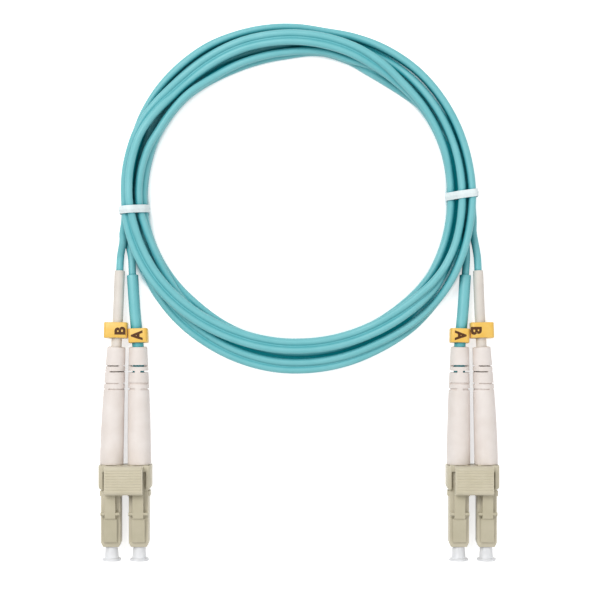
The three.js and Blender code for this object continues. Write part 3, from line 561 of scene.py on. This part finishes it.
# %% Letters
LETTER_SIZE = {"a": (0.00226, 0.00265), "b": (0.0018, 0.00248)}
LETTER_OFFSET = {
    "left_a": (0.00005, -0.00004),
    "left_b": (0.00082, -0.00018),
    "right_a": (-0.00013, -0.00004),
    "right_b": (-0.00115, -0.00022),
}
letter_depth = 0.00004
letter_lift = 0.000012
letter_boldness = 0.048


def letter_mesh(name, character):
    """A letter's mesh, and its corners in a box of size 1 round the origin, with its top towards +Y."""
    text = bpy.data.curves.new(name, "FONT")
    text.body = character.upper()
    text.offset = letter_boldness
    text.extrude = 0.5
    text.resolution_u = 6
    mesh = bpy.data.meshes.new_from_object(bpy.data.objects.new(name, text))
    bpy.data.curves.remove(text)
    corners = np.array([v.co for v in mesh.vertices], float)
    lowest, highest = corners.min(0), corners.max(0)
    return mesh, (corners - (lowest + highest) / 2) / (highest - lowest)


letters = {}
for tag, end, leg in PLUGS:
    mesh, corners = letter_mesh(f"marker_letter_{tag}", leg)
    letters[tag] = placed(f"marker_letter_{tag}", mesh)
    centre, forward, up = marker_frames[tag]
    reading = -forward * SIDES[end]
    axes = np.array([reading, np.cross(up, reading), up])
    place = centre + up * (marker_height / 2 + letter_lift) + [*LETTER_OFFSET[tag], 0]
    corners = place + (corners * [*LETTER_SIZE[leg], letter_depth]) @ axes
    mesh.vertices.foreach_set("co", corners.astype(np.float32).ravel())
    mesh.update()
    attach(letters[tag], ROOT)
print("letters on", list(letters))

# %% [markdown]
# Each leg runs from the post in its boot to the zip cord.

print("legs declared:", len(legs))

# %% [markdown]
# A white tie holds the strands on each side of the coil. It is pulled tight, so its path is the convex hull
# of the strands' round sections. It is itself a thin strip over a wire, which shows as a soft ridge.

# %% Ties
band_width = 0.00175
band_wall = 0.00018
wire_swell = 0.00014
band_clearance = 0.0001
band_bulge = 0.0002
WIRE_FOOT, WIRE_TOP = 0.4, 0.15
BAND_TILT = {"left": 0.0, "right": 6.0}
BAND_HALF_ANGLE = 1.5
TIE_STEPS = 96
HULL_STEP = 10


def convex_hull(points):
    """The hull's corners, counter-clockwise."""
    points = sorted(map(tuple, points))

    def half(ordered):
        kept = []
        for p in ordered:
            while len(kept) > 1:
                (ax, ay), (bx, by) = kept[-2], kept[-1]
                if (bx - ax) * (p[1] - ay) - (by - ay) * (p[0] - ax) > 0:
                    break
                kept.pop()
            kept.append(p)
        return kept[:-1]

    return np.array(half(points) + half(points[::-1]))


def evenly(loop, count):
    """Points spread evenly along a closed outline."""
    closed = np.concatenate([loop, loop[:1]])
    along = length_along(closed)
    at = np.linspace(0, along[-1], count, endpoint=False)
    return sampled(at, along, closed)


def tie_section():
    """Places across the strip and heights on it, round one edge, over the wire and round the other."""
    half, ease = band_width / 2, band_wall / 2
    near = ease * ROUND
    left = [(ease - half, 0), (near - half, near), (-half, ease), (near - half, band_wall - near)]
    left += [(ease - half, band_wall), (-half * WIRE_FOOT, band_wall)]
    left += [(-half * WIRE_TOP, band_wall + wire_swell)]
    return left + [(-wide, thick) for wide, thick in left[::-1]]


bands = {}
for end, angle in BAND_ANGLE.items():
    passes = np.arange(angle, COIL_END, 360)[:, None] + [-BAND_HALF_ANGLE, 0, BAND_HALF_ANGLE]
    centres, _, across, _ = coil_frame(passes)
    lobes = np.concatenate([centres + across * sign * zip_spacing / 2 for sign in (-1, 1)]).reshape(-1, 3)
    spots = np.stack([np.hypot(lobes[:, 0], lobes[:, 1] - coil_y), lobes[:, 2]], axis=1)
    ring = arc(np.radians(np.arange(0, 360, HULL_STEP)), low + band_clearance)
    loop = evenly(convex_hull(np.concatenate([ring + spot for spot in spots])), TIE_STEPS)
    tangent = unit(np.roll(loop, -1, axis=0) - np.roll(loop, 1, axis=0))
    normal = np.stack([tangent[:, 1], -tangent[:, 0]], axis=1)
    middle_radius = loop[:, 0].mean()
    tilted = math.radians(angle - BAND_TILT[end])
    across = np.array([math.sin(tilted), math.cos(tilted), 0])
    rings = []
    for (u, z), (nu, nz) in zip(loop, normal):
        row = []
        for wide, thick in tie_section():
            reach = u - middle_radius + nu * (thick + band_bulge)
            row.append(across * reach + np.cross(UP, across) * wide + [0, 0, z + nz * thick])
        rings.append(row)
    rings = np.array(rings) + polar(angle, middle_radius, 0.0)
    bands[end] = skin(f"coil_tie_{end}", rings, closed=True, smooth_under=70)
    dress(bands[end], f"band_{end}")
    print(end, "tie lowest at", round(min(v.co.z for v in bands[end].data.vertices), 5))

# %% [markdown]
# A boot is a soft cone that keeps the leg from kinking at the plug. It is turned about a line that leans
# as the boot does. Near its tail, booleans cut rings part of the way round, each turned a quarter against
# the next, so that the tail bends. The two nearest the tail go right through, the next two are grooves.

# %% Boots
BOOT_TAIL = {"a": 0.00415, "b": 0.0041}
BOOT_TURN = {"a": 0, "b": -45}
boot_front = 0.0053
boot_gap = 0.00015
boot_edge = 0.00015
SLIT_WIDTH = {"a": 0.00042, "b": 0.00028}
slit_spread = 148
groove_depth = 0.00035
sleeve_rest = 0.0004
crimp_rest = 0.0003
SLITS = (0.00425, 0.00555)
GROOVES = (0.0082, 0.0095)
BOOT_SIDES = 64
BOOT_STEPS = 60
SLIT_POINTS = 32
SLIT_SHARE = 0.8
bore_step = 0.001
crimp_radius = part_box("crimp_left_a")[1].z - plug_axis("left", "a")[1]
crimp_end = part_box("crimp_left_a")[1].y


def boot_radius(from_tail, leg):
    tail = BOOT_TAIL[leg] / 2
    return tail + (boot_front / 2 - tail) * math.sin(math.pi / 2 * min(1, max(0, from_tail / boot_length)))


def boot_outline(leg):
    """Distances from the boot's front and radii, over the outside and back through the bore."""
    sleeve_bore = SLEEVE_DIAMETER[leg] / 2 + boot_gap
    cord_bore = cord_diameter / 2 + 2 * boot_gap
    chamber = crimp_radius + boot_gap
    chamber_end = crimp_end - boot_start + crimp_rest
    sleeve_start = boot_length - sleeve_in_boot - sleeve_rest
    body = np.linspace(boot_edge, boot_length - 2 * boot_edge, 40)
    near = boot_edge * ROUND
    outline = [(0, boot_front / 2 - boot_edge), (near, boot_front / 2 - near)]
    outline += [(s, boot_radius(boot_length - s, leg)) for s in body]
    tail = BOOT_TAIL[leg] / 2
    outline += [(boot_length - 2 * near, tail - 2 * near), (boot_length, tail - 2 * boot_edge)]
    outline += [(boot_length, sleeve_bore + boot_edge), (boot_length - boot_edge, sleeve_bore)]
    outline += [(s, sleeve_bore) for s in np.linspace(boot_length - bore_step, sleeve_start, 6)]
    outline += [(sleeve_start - sleeve_rest, cord_bore)]
    outline += [(s, cord_bore) for s in np.linspace(sleeve_start - bore_step, chamber_end + bore_step, 5)]
    return outline + [(chamber_end, chamber), (0, chamber)]


def slit_tool(end, leg, from_tail, inner, middle):
    """A sector of a disc that cuts one side of a ring."""
    x, y, z = plug_line(end, leg, boot_end - from_tail, boot_end, 2)[0]
    turns = np.radians(np.linspace(middle - slit_spread / 2, middle + slit_spread / 2, SLIT_POINTS))
    if SIDES[end] < 0:
        turns = np.pi - turns
    shape = np.concatenate([arc(turns, boot_front), arc(turns[::-1], inner)])
    half_width = SLIT_WIDTH[leg] / 2
    rings = [[(x + u, y + step, z + v) for u, v in shape] for step in (-half_width, half_width)]
    return skin(f"slit_{end}_{leg}", rings)


def cut_away(piece, tools):
    """Cuts tools out of a piece with booleans, and removes them."""
    for tool in tools:
        cut = piece.modifiers.new("cut", "BOOLEAN")
        cut.operation, cut.solver, cut.object = "DIFFERENCE", "EXACT", tool
    bpy.context.view_layer.update()
    shown = piece.evaluated_get(bpy.context.evaluated_depsgraph_get())
    mesh = bpy.data.meshes.new_from_object(shown)
    piece.modifiers.clear()
    piece.data = mesh
    smooth(mesh, 40)
    for tool in tools:
        bpy.data.objects.remove(tool)


boots = {}
for tag, end, leg in PLUGS:
    line = plug_line(end, leg, boot_start, boot_end, BOOT_STEPS)
    scale = length_along(line)[-1] / boot_length
    outline = [(s * scale, r) for s, r in boot_outline(leg)]
    boots[tag] = swept(f"strain_boot_{tag}", line, outline, BOOT_SIDES)
    tools = []
    for cuts, inner_of in (
        (SLITS, lambda s: (SLEEVE_DIAMETER[leg] / 2 + boot_gap) * SLIT_SHARE),
        (GROOVES, lambda s: boot_radius(s, leg) - groove_depth),
    ):
        for i, from_tail in enumerate(cuts):
            for half_turn in (0, 180):
                middle = 90 + BOOT_TURN[leg] + 90 * i + half_turn
                tools.append(slit_tool(end, leg, from_tail, inner_of(from_tail), middle))
    cut_away(boots[tag], tools)
    dress(boots[tag], f"boot_{tag}")
    print(boots[tag].name, len(boots[tag].data.polygons), "faces")

# %% [markdown]
# The dust cap is a turned piece of milky plastic over the ferrule. Its barrel widens towards a foot that a
# finger can pull. The ferrule is a polished ceramic rod with a bevelled tip.

# %% Caps and ferrules
cap_foot = 0.0043
cap_neck = 0.0032
cap_barrel = 0.00274
cap_foot_length = 0.00055
cap_edge = 0.0001
barrel_edge = 0.0002
fit_gap = 0.0001
# A radius at the axis that is too small to see
AXIS = 0.00002
CAP_SIDES = 64
FERRULE_SIDES = 48
ferrule_bevel = 0.0002


def cap_outline(length, reach, bore, bore_from):
    """Distances from the cap's tip and radii: foot, tapered neck, barrel in the nose, and the bore."""
    foot, neck, barrel, near = cap_foot / 2, cap_neck / 2, cap_barrel / 2, cap_edge * ROUND
    outline = [(0, AXIS), (0, foot * 0.5), (0, foot - cap_edge), (near, foot - near), (cap_edge, foot)]
    outline += [(cap_foot_length - s, r) for s, r in ((cap_edge, foot), (near, foot - near))]
    outline += [(cap_foot_length, foot - cap_edge), (cap_foot_length, neck + cap_edge)]
    outline += [(cap_foot_length + near, neck + near), (cap_foot_length + cap_edge, neck)]
    outline += [(reach, barrel), (length - barrel_edge, barrel)]
    near = barrel_edge * ROUND
    outline += [(length - near, barrel - near), (length, barrel - barrel_edge)]
    return outline + [(length, bore), (bore_from, bore), (bore_from, AXIS)]


def rod_outline(length, radius):
    """Distances from the ferrule's tip and radii, over its bevel."""
    near = ferrule_bevel * 0.4
    outline = [(0, AXIS), (0, radius - ferrule_bevel), (near, radius - near), (ferrule_bevel * 1.2, radius)]
    return outline + [(length * 0.5, radius), (length, radius), (length, AXIS)]


caps, rods = {}, {}
for tag, end, leg in PLUGS:
    cap_low, cap_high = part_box(f"cap_{tag}")
    rod_low, rod_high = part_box(f"ferrule_{tag}")
    tip, root = rod_low.y, rod_high.y
    radius = (rod_high.x - rod_low.x) / 2
    line = plug_line(end, leg, cap_low.y, cap_high.y)
    reach, bore_from = nose_y - cap_low.y, tip - fit_gap - cap_low.y
    outline = cap_outline(cap_high.y - cap_low.y, reach, radius + fit_gap / 2, bore_from)
    caps[tag] = swept(f"dust_cap_{tag}", line, outline, CAP_SIDES, smooth_under=50)
    dress(caps[tag], f"cap_{tag}", f"cap_{tag}")
    line = plug_line(end, leg, tip, root)
    outline = rod_outline(root - tip, radius)
    rods[tag] = swept(f"ceramic_ferrule_{tag}", line, outline, FERRULE_SIDES, smooth_under=30)
    dress(rods[tag], f"ferrule_{tag}", f"ferrule_{tag}")
print("caps and ferrules:", len(caps) + len(rods))

# %% [markdown]
# The spring behind each ferrule is wound again from a rounder wire.

# %% Springs
SPRING_TURNS = 5
SPRING_STEPS = 24
WIRE_SIDES = 10
spring_wire = 0.0003


def wound(name, lowest, highest):
    """A round wire wound along Y inside a box."""
    wire = spring_wire / 2
    turns = np.radians(np.linspace(0, 360 * SPRING_TURNS, SPRING_STEPS * SPRING_TURNS + 1))
    out = np.stack([np.cos(turns), 0 * turns, np.sin(turns)], axis=1)
    centres = out * ((highest.x - lowest.x) / 2 - wire)
    centres += [(lowest.x + highest.x) / 2, 0, (lowest.z + highest.z) / 2]
    centres[:, 1] = np.linspace(lowest.y + wire, highest.y - wire, len(turns))
    around = arc(np.linspace(0, 2 * np.pi, WIRE_SIDES, endpoint=False), wire)
    return skin(name, centres[:, None] + around[:, :1] * out[:, None] + around[:, 1:] * [0, 1, 0])


springs = []
for tag, end, leg in PLUGS:
    spring_low, spring_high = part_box(f"spring_{tag}")
    spring = wound(f"ferrule_spring_{tag}", spring_low, spring_high)
    x, z = plug_axis(end, leg)
    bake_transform(spring)
    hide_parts(f"spring_{tag}")
    springs.append(spring)
print("springs:", len(springs), "of", SPRING_TURNS, "turns")

# %% [markdown]
# Moulded parts have no knife edges: the mould rounds each one by a tenth of a millimetre or so. Each
# moulded CAD piece is copied, with its triangles merged into whole faces and its sharp edges bevelled.

# %% Moulded pieces with eased edges
MOULDED = {
    "housing": ("plug_housing", 0.00009),
    "latch": ("latch_lever", 0.00007),
    "body": ("rear_body", 0.00006),
    "clip": ("duplex_clip", 0.00012),
    "trigger": ("clip_trigger", 0.00007),
}
SHARP = math.radians(38)
ROUNDED = dict(offset_type="OFFSET", segments=2, profile=0.6, affect="EDGES", clamp_overlap=True)


def eased(node, name, width):
    """A copy of a CAD node with whole faces and rounded edges."""
    work = bmesh.new()
    work.from_mesh(frame["nodes"][node].data)
    bmesh.ops.remove_doubles(work, verts=work.verts, dist=1e-6)
    bmesh.ops.dissolve_limit(work, angle_limit=math.radians(1), verts=work.verts, edges=work.edges)
    sharp = [e for e in work.edges if len(e.link_faces) == 2 and e.calc_face_angle() > SHARP]
    bmesh.ops.bevel(work, geom=sharp, offset=width, **ROUNDED)
    bmesh.ops.triangulate(work, faces=[f for f in work.faces if len(f.verts) > 4])
    mesh = bpy.data.meshes.new(name)
    work.to_mesh(mesh)
    work.free()
    smooth(mesh, 32)
    return placed(name, mesh)


body_of_node = {n: body for body, nodes in frame["record"]["behaviour"]["bodies"].items() for n in nodes}
moulded = {}
for node in frame["nodes"]:
    kind = node.split("_")[0]
    if kind in MOULDED:
        long_name, width = MOULDED[kind]
        moulded[node] = eased(node, node.replace(kind, long_name), width)
        dress(moulded[node], node, body_of_node[node])
print("moulded pieces:", len(moulded))

# %% [markdown]
# Finishes are written as sums. A Field wraps one socket of a material's node tree, so that 1 - mask or
# 0.4 + 0.1 * grain adds the Math nodes by itself. Every other node comes from the add method of Finish,
# which takes the node's type, its settings, and what its sockets are given.

# %% Shader sums


class Field:
    """A socket of a node tree that can be used in sums."""

    def __init__(self, tree, socket):
        self.tree, self.socket = tree, socket

    def math(self, operation, first, second):
        node = self.tree.nodes.new("ShaderNodeMath")
        node.operation = operation
        feed(node.inputs[0], first)
        feed(node.inputs[1], second)
        return Field(self.tree, node.outputs[0])

    def __add__(self, other):
        return self.math("ADD", self, other)

    def __sub__(self, other):
        return self.math("SUBTRACT", self, other)

    def __rsub__(self, other):
        return self.math("SUBTRACT", other, self)

    def __mul__(self, other):
        return self.math("MULTIPLY", self, other)

    __radd__ = __add__
    __rmul__ = __mul__


def feed(socket, value):
    """Gives a socket a Field or a fixed value."""
    if isinstance(value, Field):
        value.tree.links.new(value.socket, socket)
    else:
        socket.default_value = value


class Finish:
    """A material built on one Principled shader, whose fixed values are set by name."""

    def __init__(self, name, **fixed):
        self.material = bpy.data.materials.new(name)
        self.material.use_nodes = True
        self.tree = self.material.node_tree
        self.shader = self.tree.nodes["Principled BSDF"]
        self.surface(**fixed)

    def add(self, kind, settings, inputs, output=0):
        """Adds any node: its type, its settings, and a value or Field for each named or numbered socket."""
        node = self.tree.nodes.new(kind)
        for name, value in settings.items():
            setattr(node, name, value)
        for name, value in inputs.items():
            feed(node.inputs[name], value)
        return Field(self.tree, node.outputs[output])

    def surface(self, **values):
        """Gives the shader fixed values, and Fields for what changes over the surface."""
        for socket, value in values.items():
            feed(self.shader.inputs[socket.replace("_", " ")], value)

    def paint(self, pieces):
        for piece in pieces:
            piece.data.materials.clear()
            piece.data.materials.append(self.material)


def colour(red, green, blue):
    """A colour as a picture gives it, from 0 to 255, made linear for the shader."""

    def linear(value):
        value /= 255
        return value / 12.92 if value <= 0.04045 else ((value + 0.055) / 1.055) ** 2.4

    return (linear(red), linear(green), linear(blue), 1.0)


print("finishes are written as sums of fields")

# %% [markdown]
# Four parts recur in the finishes. Speckle is noise at a real size in metres. A tint mixes two colours by
# a field. A relief turns a height field into a bump, with a depth in metres. Openness is 1 where a surface
# lies free and 0 deep between others, and masks where shade is painted into the jacket and the floor.
# Mottled makes a whole finish of them: its colour drifts in patches, and its roughness and relief follow a
# grain.

# %% Parts that finishes share


def speckle(finish, size, detail):
    """Noise between 0 and 1 whose blobs are about as large as size."""
    place = finish.add("ShaderNodeTexCoord", {}, {}, "Object")
    return finish.add("ShaderNodeTexNoise", {}, {"Vector": place, "Scale": 1 / size, "Detail": detail})


def tint(finish, mask, first, second):
    """first where the mask is 0 and second where it is 1."""
    return finish.add("ShaderNodeMix", {"data_type": "RGBA"}, {0: mask, 6: first, 7: second}, 2)


def relief(finish, height, depth):
    return finish.add("ShaderNodeBump", {}, {"Height": height, "Strength": 1.0, "Distance": depth})


def openness(finish, reach, lowest, highest):
    """0 where surfaces within reach leave less than lowest of the sky, and 1 where they leave highest."""
    sky = finish.add("ShaderNodeAmbientOcclusion", {"samples": 16}, {"Distance": reach}, "AO")
    return finish.add("ShaderNodeMapRange", {}, {"Value": sky, "From Min": lowest, "From Max": highest})


def mottled(name, dark, pale, patches, rough, depth=0, grain=None, **fixed):
    """Patches are size, detail, contrast and shift, rough is lowest and spread, and grain is a size."""
    finish = Finish(name, **fixed)
    size, detail, contrast, shift = patches
    patch = speckle(finish, size, detail)
    fine = speckle(finish, grain, 1) if grain else patch
    mixed = tint(finish, patch * contrast - shift, colour(*dark), colour(*pale))
    finish.surface(Base_Color=mixed, Roughness=fine * rough[1] + rough[0])
    if depth:
        finish.surface(Normal=relief(finish, fine, depth))
    return finish


print("speckle, tint, relief, openness and mottled are ready")

# %% [markdown]
# The jacket is an aqua plastic that was drawn through a die: a satin skin with faint lines along it and a
# colour that drifts a little. The lines follow the lay attribute, so they run with the cord round every
# bend. Deep between the strands a darker aqua is painted in as shade, where ambient occlusion finds them.

# %% Jacket
AQUA = (98, 182, 188)
AQUA_PALE = (130, 199, 205)
# painted shade: the darker aqua that stands in for shade deep between the strands
AQUA_PAINTED_SHADE = (14, 150, 161)
LINES_PER_METRE = (26.0, 220.0, 1.0)
# painted shade: how far to look for neighbouring strands, and where the darker aqua starts and ends
painted_shade_reach = 0.002
drift_size, grain_size, drawn_depth = 0.006, 0.00025, 0.00003
PAINTED_SHADE_FROM, PAINTED_SHADE_TO = 0.3, 1.0
jacket = Finish("aqua_jacket", IOR=1.46, Specular_IOR_Level=0.55)
drift = speckle(jacket, drift_size, 3)
lay = jacket.add("ShaderNodeAttribute", {"attribute_name": "lay"}, {}, "Vector")
stretch = {0: lay, 1: LINES_PER_METRE}
stretched = jacket.add("ShaderNodeVectorMath", {"operation": "MULTIPLY"}, stretch, "Vector")
drawn = jacket.add("ShaderNodeTexNoise", {}, {"Vector": stretched, "Scale": 1.0, "Detail": 3.0})
skin_colour = tint(jacket, drift * 0.8 + drawn * 0.3 - 0.05, colour(*AQUA), colour(*AQUA_PALE))
# painted shade mask: 0 deep between strands, where the jacket turns to the darker aqua, 1 where it lies open
unshaded = openness(jacket, painted_shade_reach, PAINTED_SHADE_FROM, PAINTED_SHADE_TO)
jacket.surface(
    Base_Color=tint(jacket, unshaded, colour(*AQUA_PAINTED_SHADE), skin_colour),
    Roughness=0.36 + drawn * 0.16,
    Normal=relief(jacket, drawn * 0.7 + speckle(jacket, grain_size, 1) * 0.3, drawn_depth),
)
buffers = [frame["nodes"][f"buffer_{tag}"] for tag in legs]
aqua_pieces = [coil, *legs.values(), *(sleeves[f"{end}_a"] for end in SIDES), *buffers]
jacket.paint(aqua_pieces)
print("aqua jacket on", len(aqua_pieces), "pieces")

# %% [markdown]
# Boots and the white sleeves are soft vinyl in a warm white, a little uneven, with a very fine matt grain.

# %% Boots and white sleeves
VINYL = dict(patches=(0.004, 3, 1.4, 0.35), rough=(0.44, 0.14), depth=0.000012, grain=0.00018)
VINYL |= dict(IOR=1.46, Specular_IOR_Level=0.4)
boot_vinyl = mottled("boot_vinyl", (226, 216, 209), (240, 233, 229), **VINYL)
boot_vinyl.paint(boots.values())
sleeve_vinyl = mottled("sleeve_vinyl", (214, 206, 197), (228, 222, 214), **VINYL)
sleeve_vinyl.paint([sleeves[f"{end}_b"] for end in SIDES])
print("warm white on", len(boots) + 2, "pieces")

# %% [markdown]
# The plugs, levers, rear bodies and clips are a beige engineering plastic. It is a little glossier than
# the boots, with a fine grain and faint flow marks. The levers get a darker copy of it: painted shade.

# %% Beige plastic
MOULDING = dict(patches=(0.0035, 4, 1.3, 0.15), rough=(0.34, 0.16), depth=0.000012, grain=0.00014)
MOULDING |= dict(IOR=1.5, Specular_IOR_Level=0.45)
levers = [piece for name, piece in moulded.items() if name.startswith("latch")]
plastic = mottled("beige_plastic", (194, 186, 161), (211, 203, 181), **MOULDING)
plastic.paint([piece for piece in moulded.values() if piece not in levers])
# painted shade: the levers take a darker copy of the beige, as they sit lower and slope away from the light
mottled("beige_lever_painted_shade", (180, 173, 147), (197, 189, 166), **MOULDING).paint(levers)
print("beige on", len(moulded), "pieces, a deeper one on", len(levers), "of them")

# %% [markdown]
# Marker rings are a glossier yellow, and their letters are a dark brown ink a hair above the surface.

# %% Markers and their ink
YELLOW = dict(patches=(0.0015, 2, 1.2, 0.1), rough=(0.3, 0.12), IOR=1.5, Specular_IOR_Level=0.45)
INK = dict(patches=(0.00012, 2, 1.2, 0.3), rough=(0.5, 0.1), Specular_IOR_Level=0.3)
yellow = mottled("yellow_marker", (236, 184, 68), (242, 203, 110), **YELLOW)
yellow.surface(Normal=relief(yellow, speckle(yellow, 0.0002, 1), 0.00001))
yellow.paint(markers.values())
mottled("brown_ink", (66, 34, 2), (104, 62, 12), **INK).paint(letters.values())
print("yellow rings and brown letters:", len(markers) + len(letters))

# %% [markdown]
# The caps are a milky plastic, with a share of transmission over a white base. The ferrules are polished
# and nearly white, and the springs, flanges and crimp sleeves are turned or drawn steel.

# %% Caps, ceramic and steel
MILKY = dict(patches=(0.0012, 2, 1, 0), rough=(0.28, 0.14), depth=0.00002, IOR=1.45, Transmission_Weight=0.2)
CERAMIC = dict(patches=(0.0008, 2, 1, 0), rough=(0.1, 0.06), IOR=1.9)
STEEL = dict(patches=(0.0003, 3, 1, 0), rough=(0.26, 0.14), depth=0.00001, Metallic=1.0)
mottled("milky_cap", (236, 238, 240), (250, 250, 252), **MILKY).paint(caps.values())
mottled("polished_ceramic", (240, 238, 233), (250, 249, 246), **CERAMIC).paint(rods.values())
steel_pieces = [frame["nodes"][f"{kind}_{tag}"] for kind in ("flange", "crimp") for tag in legs] + springs
mottled("spun_steel", (176, 178, 181), (205, 206, 208), **STEEL).paint(steel_pieces)
print("steel on", len(steel_pieces), "pieces")

# %% [markdown]
# The ties are a white plastic strip over a wire, slightly creased along its length.

# %% White ties
TIE = dict(patches=(0.0006, 3, 1, 0), rough=(0.38, 0.16), depth=0.00004, IOR=1.48, Specular_IOR_Level=0.4)
mottled("white_tie", (216, 230, 232), (240, 248, 249), **TIE).paint(bands.values())
print("white ties:", len(bands))

# %% [markdown]
# The photograph has a plain white ground and soft light from above and the left. A wide lamp gives that
# light, a weaker one fills the other side, and a dim white world lifts the rest.
# Rays that look, from the camera or by way of metal or glass, see a brighter floor and a white world, so
# the ground comes out white and keeps the object's soft shadow. In the narrow gaps below the coil, ambient
# occlusion paints shade onto the floor: a deep aqua in its colour and in its glow, within a ring round the
# coil.

# %% Floor
floor_size = 1.2
floor_drop = 0.00002
floor_glow = 0.66
# painted shade on the floor: how far to look, where it starts and ends, and the ring past which none is
# painted
gap_shade_reach = 0.005
GAP_SHADE_FROM, GAP_SHADE_TO = 0.36, 0.56
GAP_SHADE_RING = (0.0395, 0.0405)
WHITE, BLACK, FLOOR_GREY = (1, 1, 1, 1), (0, 0, 0, 1), (0.8, 0.8, 0.8, 1)
# painted shade: the deep aqua colour and glow that the floor takes in the gaps below the coil
GAP_PAINTED_SHADE, GAP_PAINTED_SHADE_GLOW = colour(30, 140, 150), colour(0, 96, 104)


def looking(tree):
    """1 for a ray from the camera or by way of metal or glass, and 0 for the light's own rays."""
    path = tree.nodes.new("ShaderNodeLightPath")
    names = ("Is Camera Ray", "Is Glossy Ray", "Is Transmission Ray")
    camera_ray, glossy_ray, glass_ray = (Field(tree, path.outputs[name]) for name in names)
    rays = camera_ray + glossy_ray + glass_ray
    return rays.math("MINIMUM", rays, 1.0)


reach = floor_size / 2
corners = [(-reach, -reach, 0), (reach, -reach, 0), (reach, reach, 0), (-reach, reach, 0)]
floor_mesh = bpy.data.meshes.new("floor")
floor_mesh.from_pydata(corners, [], [(0, 1, 2, 3)])
floor = placed("floor", floor_mesh)
floor.location.z = -floor_drop
ground = Finish("pale_floor", Roughness=0.9, Specular_IOR_Level=0.1, Emission_Strength=floor_glow)
from_middle = {0: ground.add("ShaderNodeTexCoord", {}, {}, "Object"), 1: (0, coil_y, 0)}
off_centre = ground.add("ShaderNodeVectorMath", {"operation": "DISTANCE"}, from_middle, "Value")
edges = {"Value": off_centre, "From Min": GAP_SHADE_RING[0], "From Max": GAP_SHADE_RING[1]}
outside_shade_ring = ground.add("ShaderNodeMapRange", {}, edges)
# painted shade mask: 0 in the crowded gaps inside the ring, where the floor's colour and glow turn deep aqua
unshaded = outside_shade_ring.math("MAXIMUM", openness(ground, gap_shade_reach, GAP_SHADE_FROM, GAP_SHADE_TO), outside_shade_ring)
glow_with_painted_shade = tint(ground, unshaded, GAP_PAINTED_SHADE_GLOW, WHITE)
ground.surface(
    Base_Color=tint(ground, unshaded, GAP_PAINTED_SHADE, FLOOR_GREY),
    Emission_Color=tint(ground, looking(ground.tree), BLACK, glow_with_painted_shade),
)
ground.paint([floor])
print("floor", floor_size, "m wide")

# %% Light
room_light = 0.48
LAMPS_AIM = Vector((0, 0.034, 0))


def lamp(name, place, size, power):
    """A square lamp that faces the coil."""
    data = bpy.data.lights.new(name, "AREA")
    data.shape, data.size, data.energy = "SQUARE", size, power
    lamp_object = placed(name, data)
    lamp_object.location = place
    lamp_object.rotation_euler = (LAMPS_AIM - Vector(place)).to_track_quat("-Z", "Y").to_euler()


lamp("key", (-0.30, 0.34, 0.60), 0.42, 3.25)
lamp("fill", (0.45, -0.25, 0.55), 0.6, 1.4)
world = bpy.data.worlds.new("pale_room")
world.use_nodes = True
background = world.node_tree.nodes["Background"]
background.inputs["Color"].default_value = WHITE
feed(background.inputs["Strength"], room_light + looking(world.node_tree) * (1 - room_light))
bpy.context.scene.world = world
bpy.context.scene.view_settings.view_transform = "Standard"
print("two lamps and a pale world")
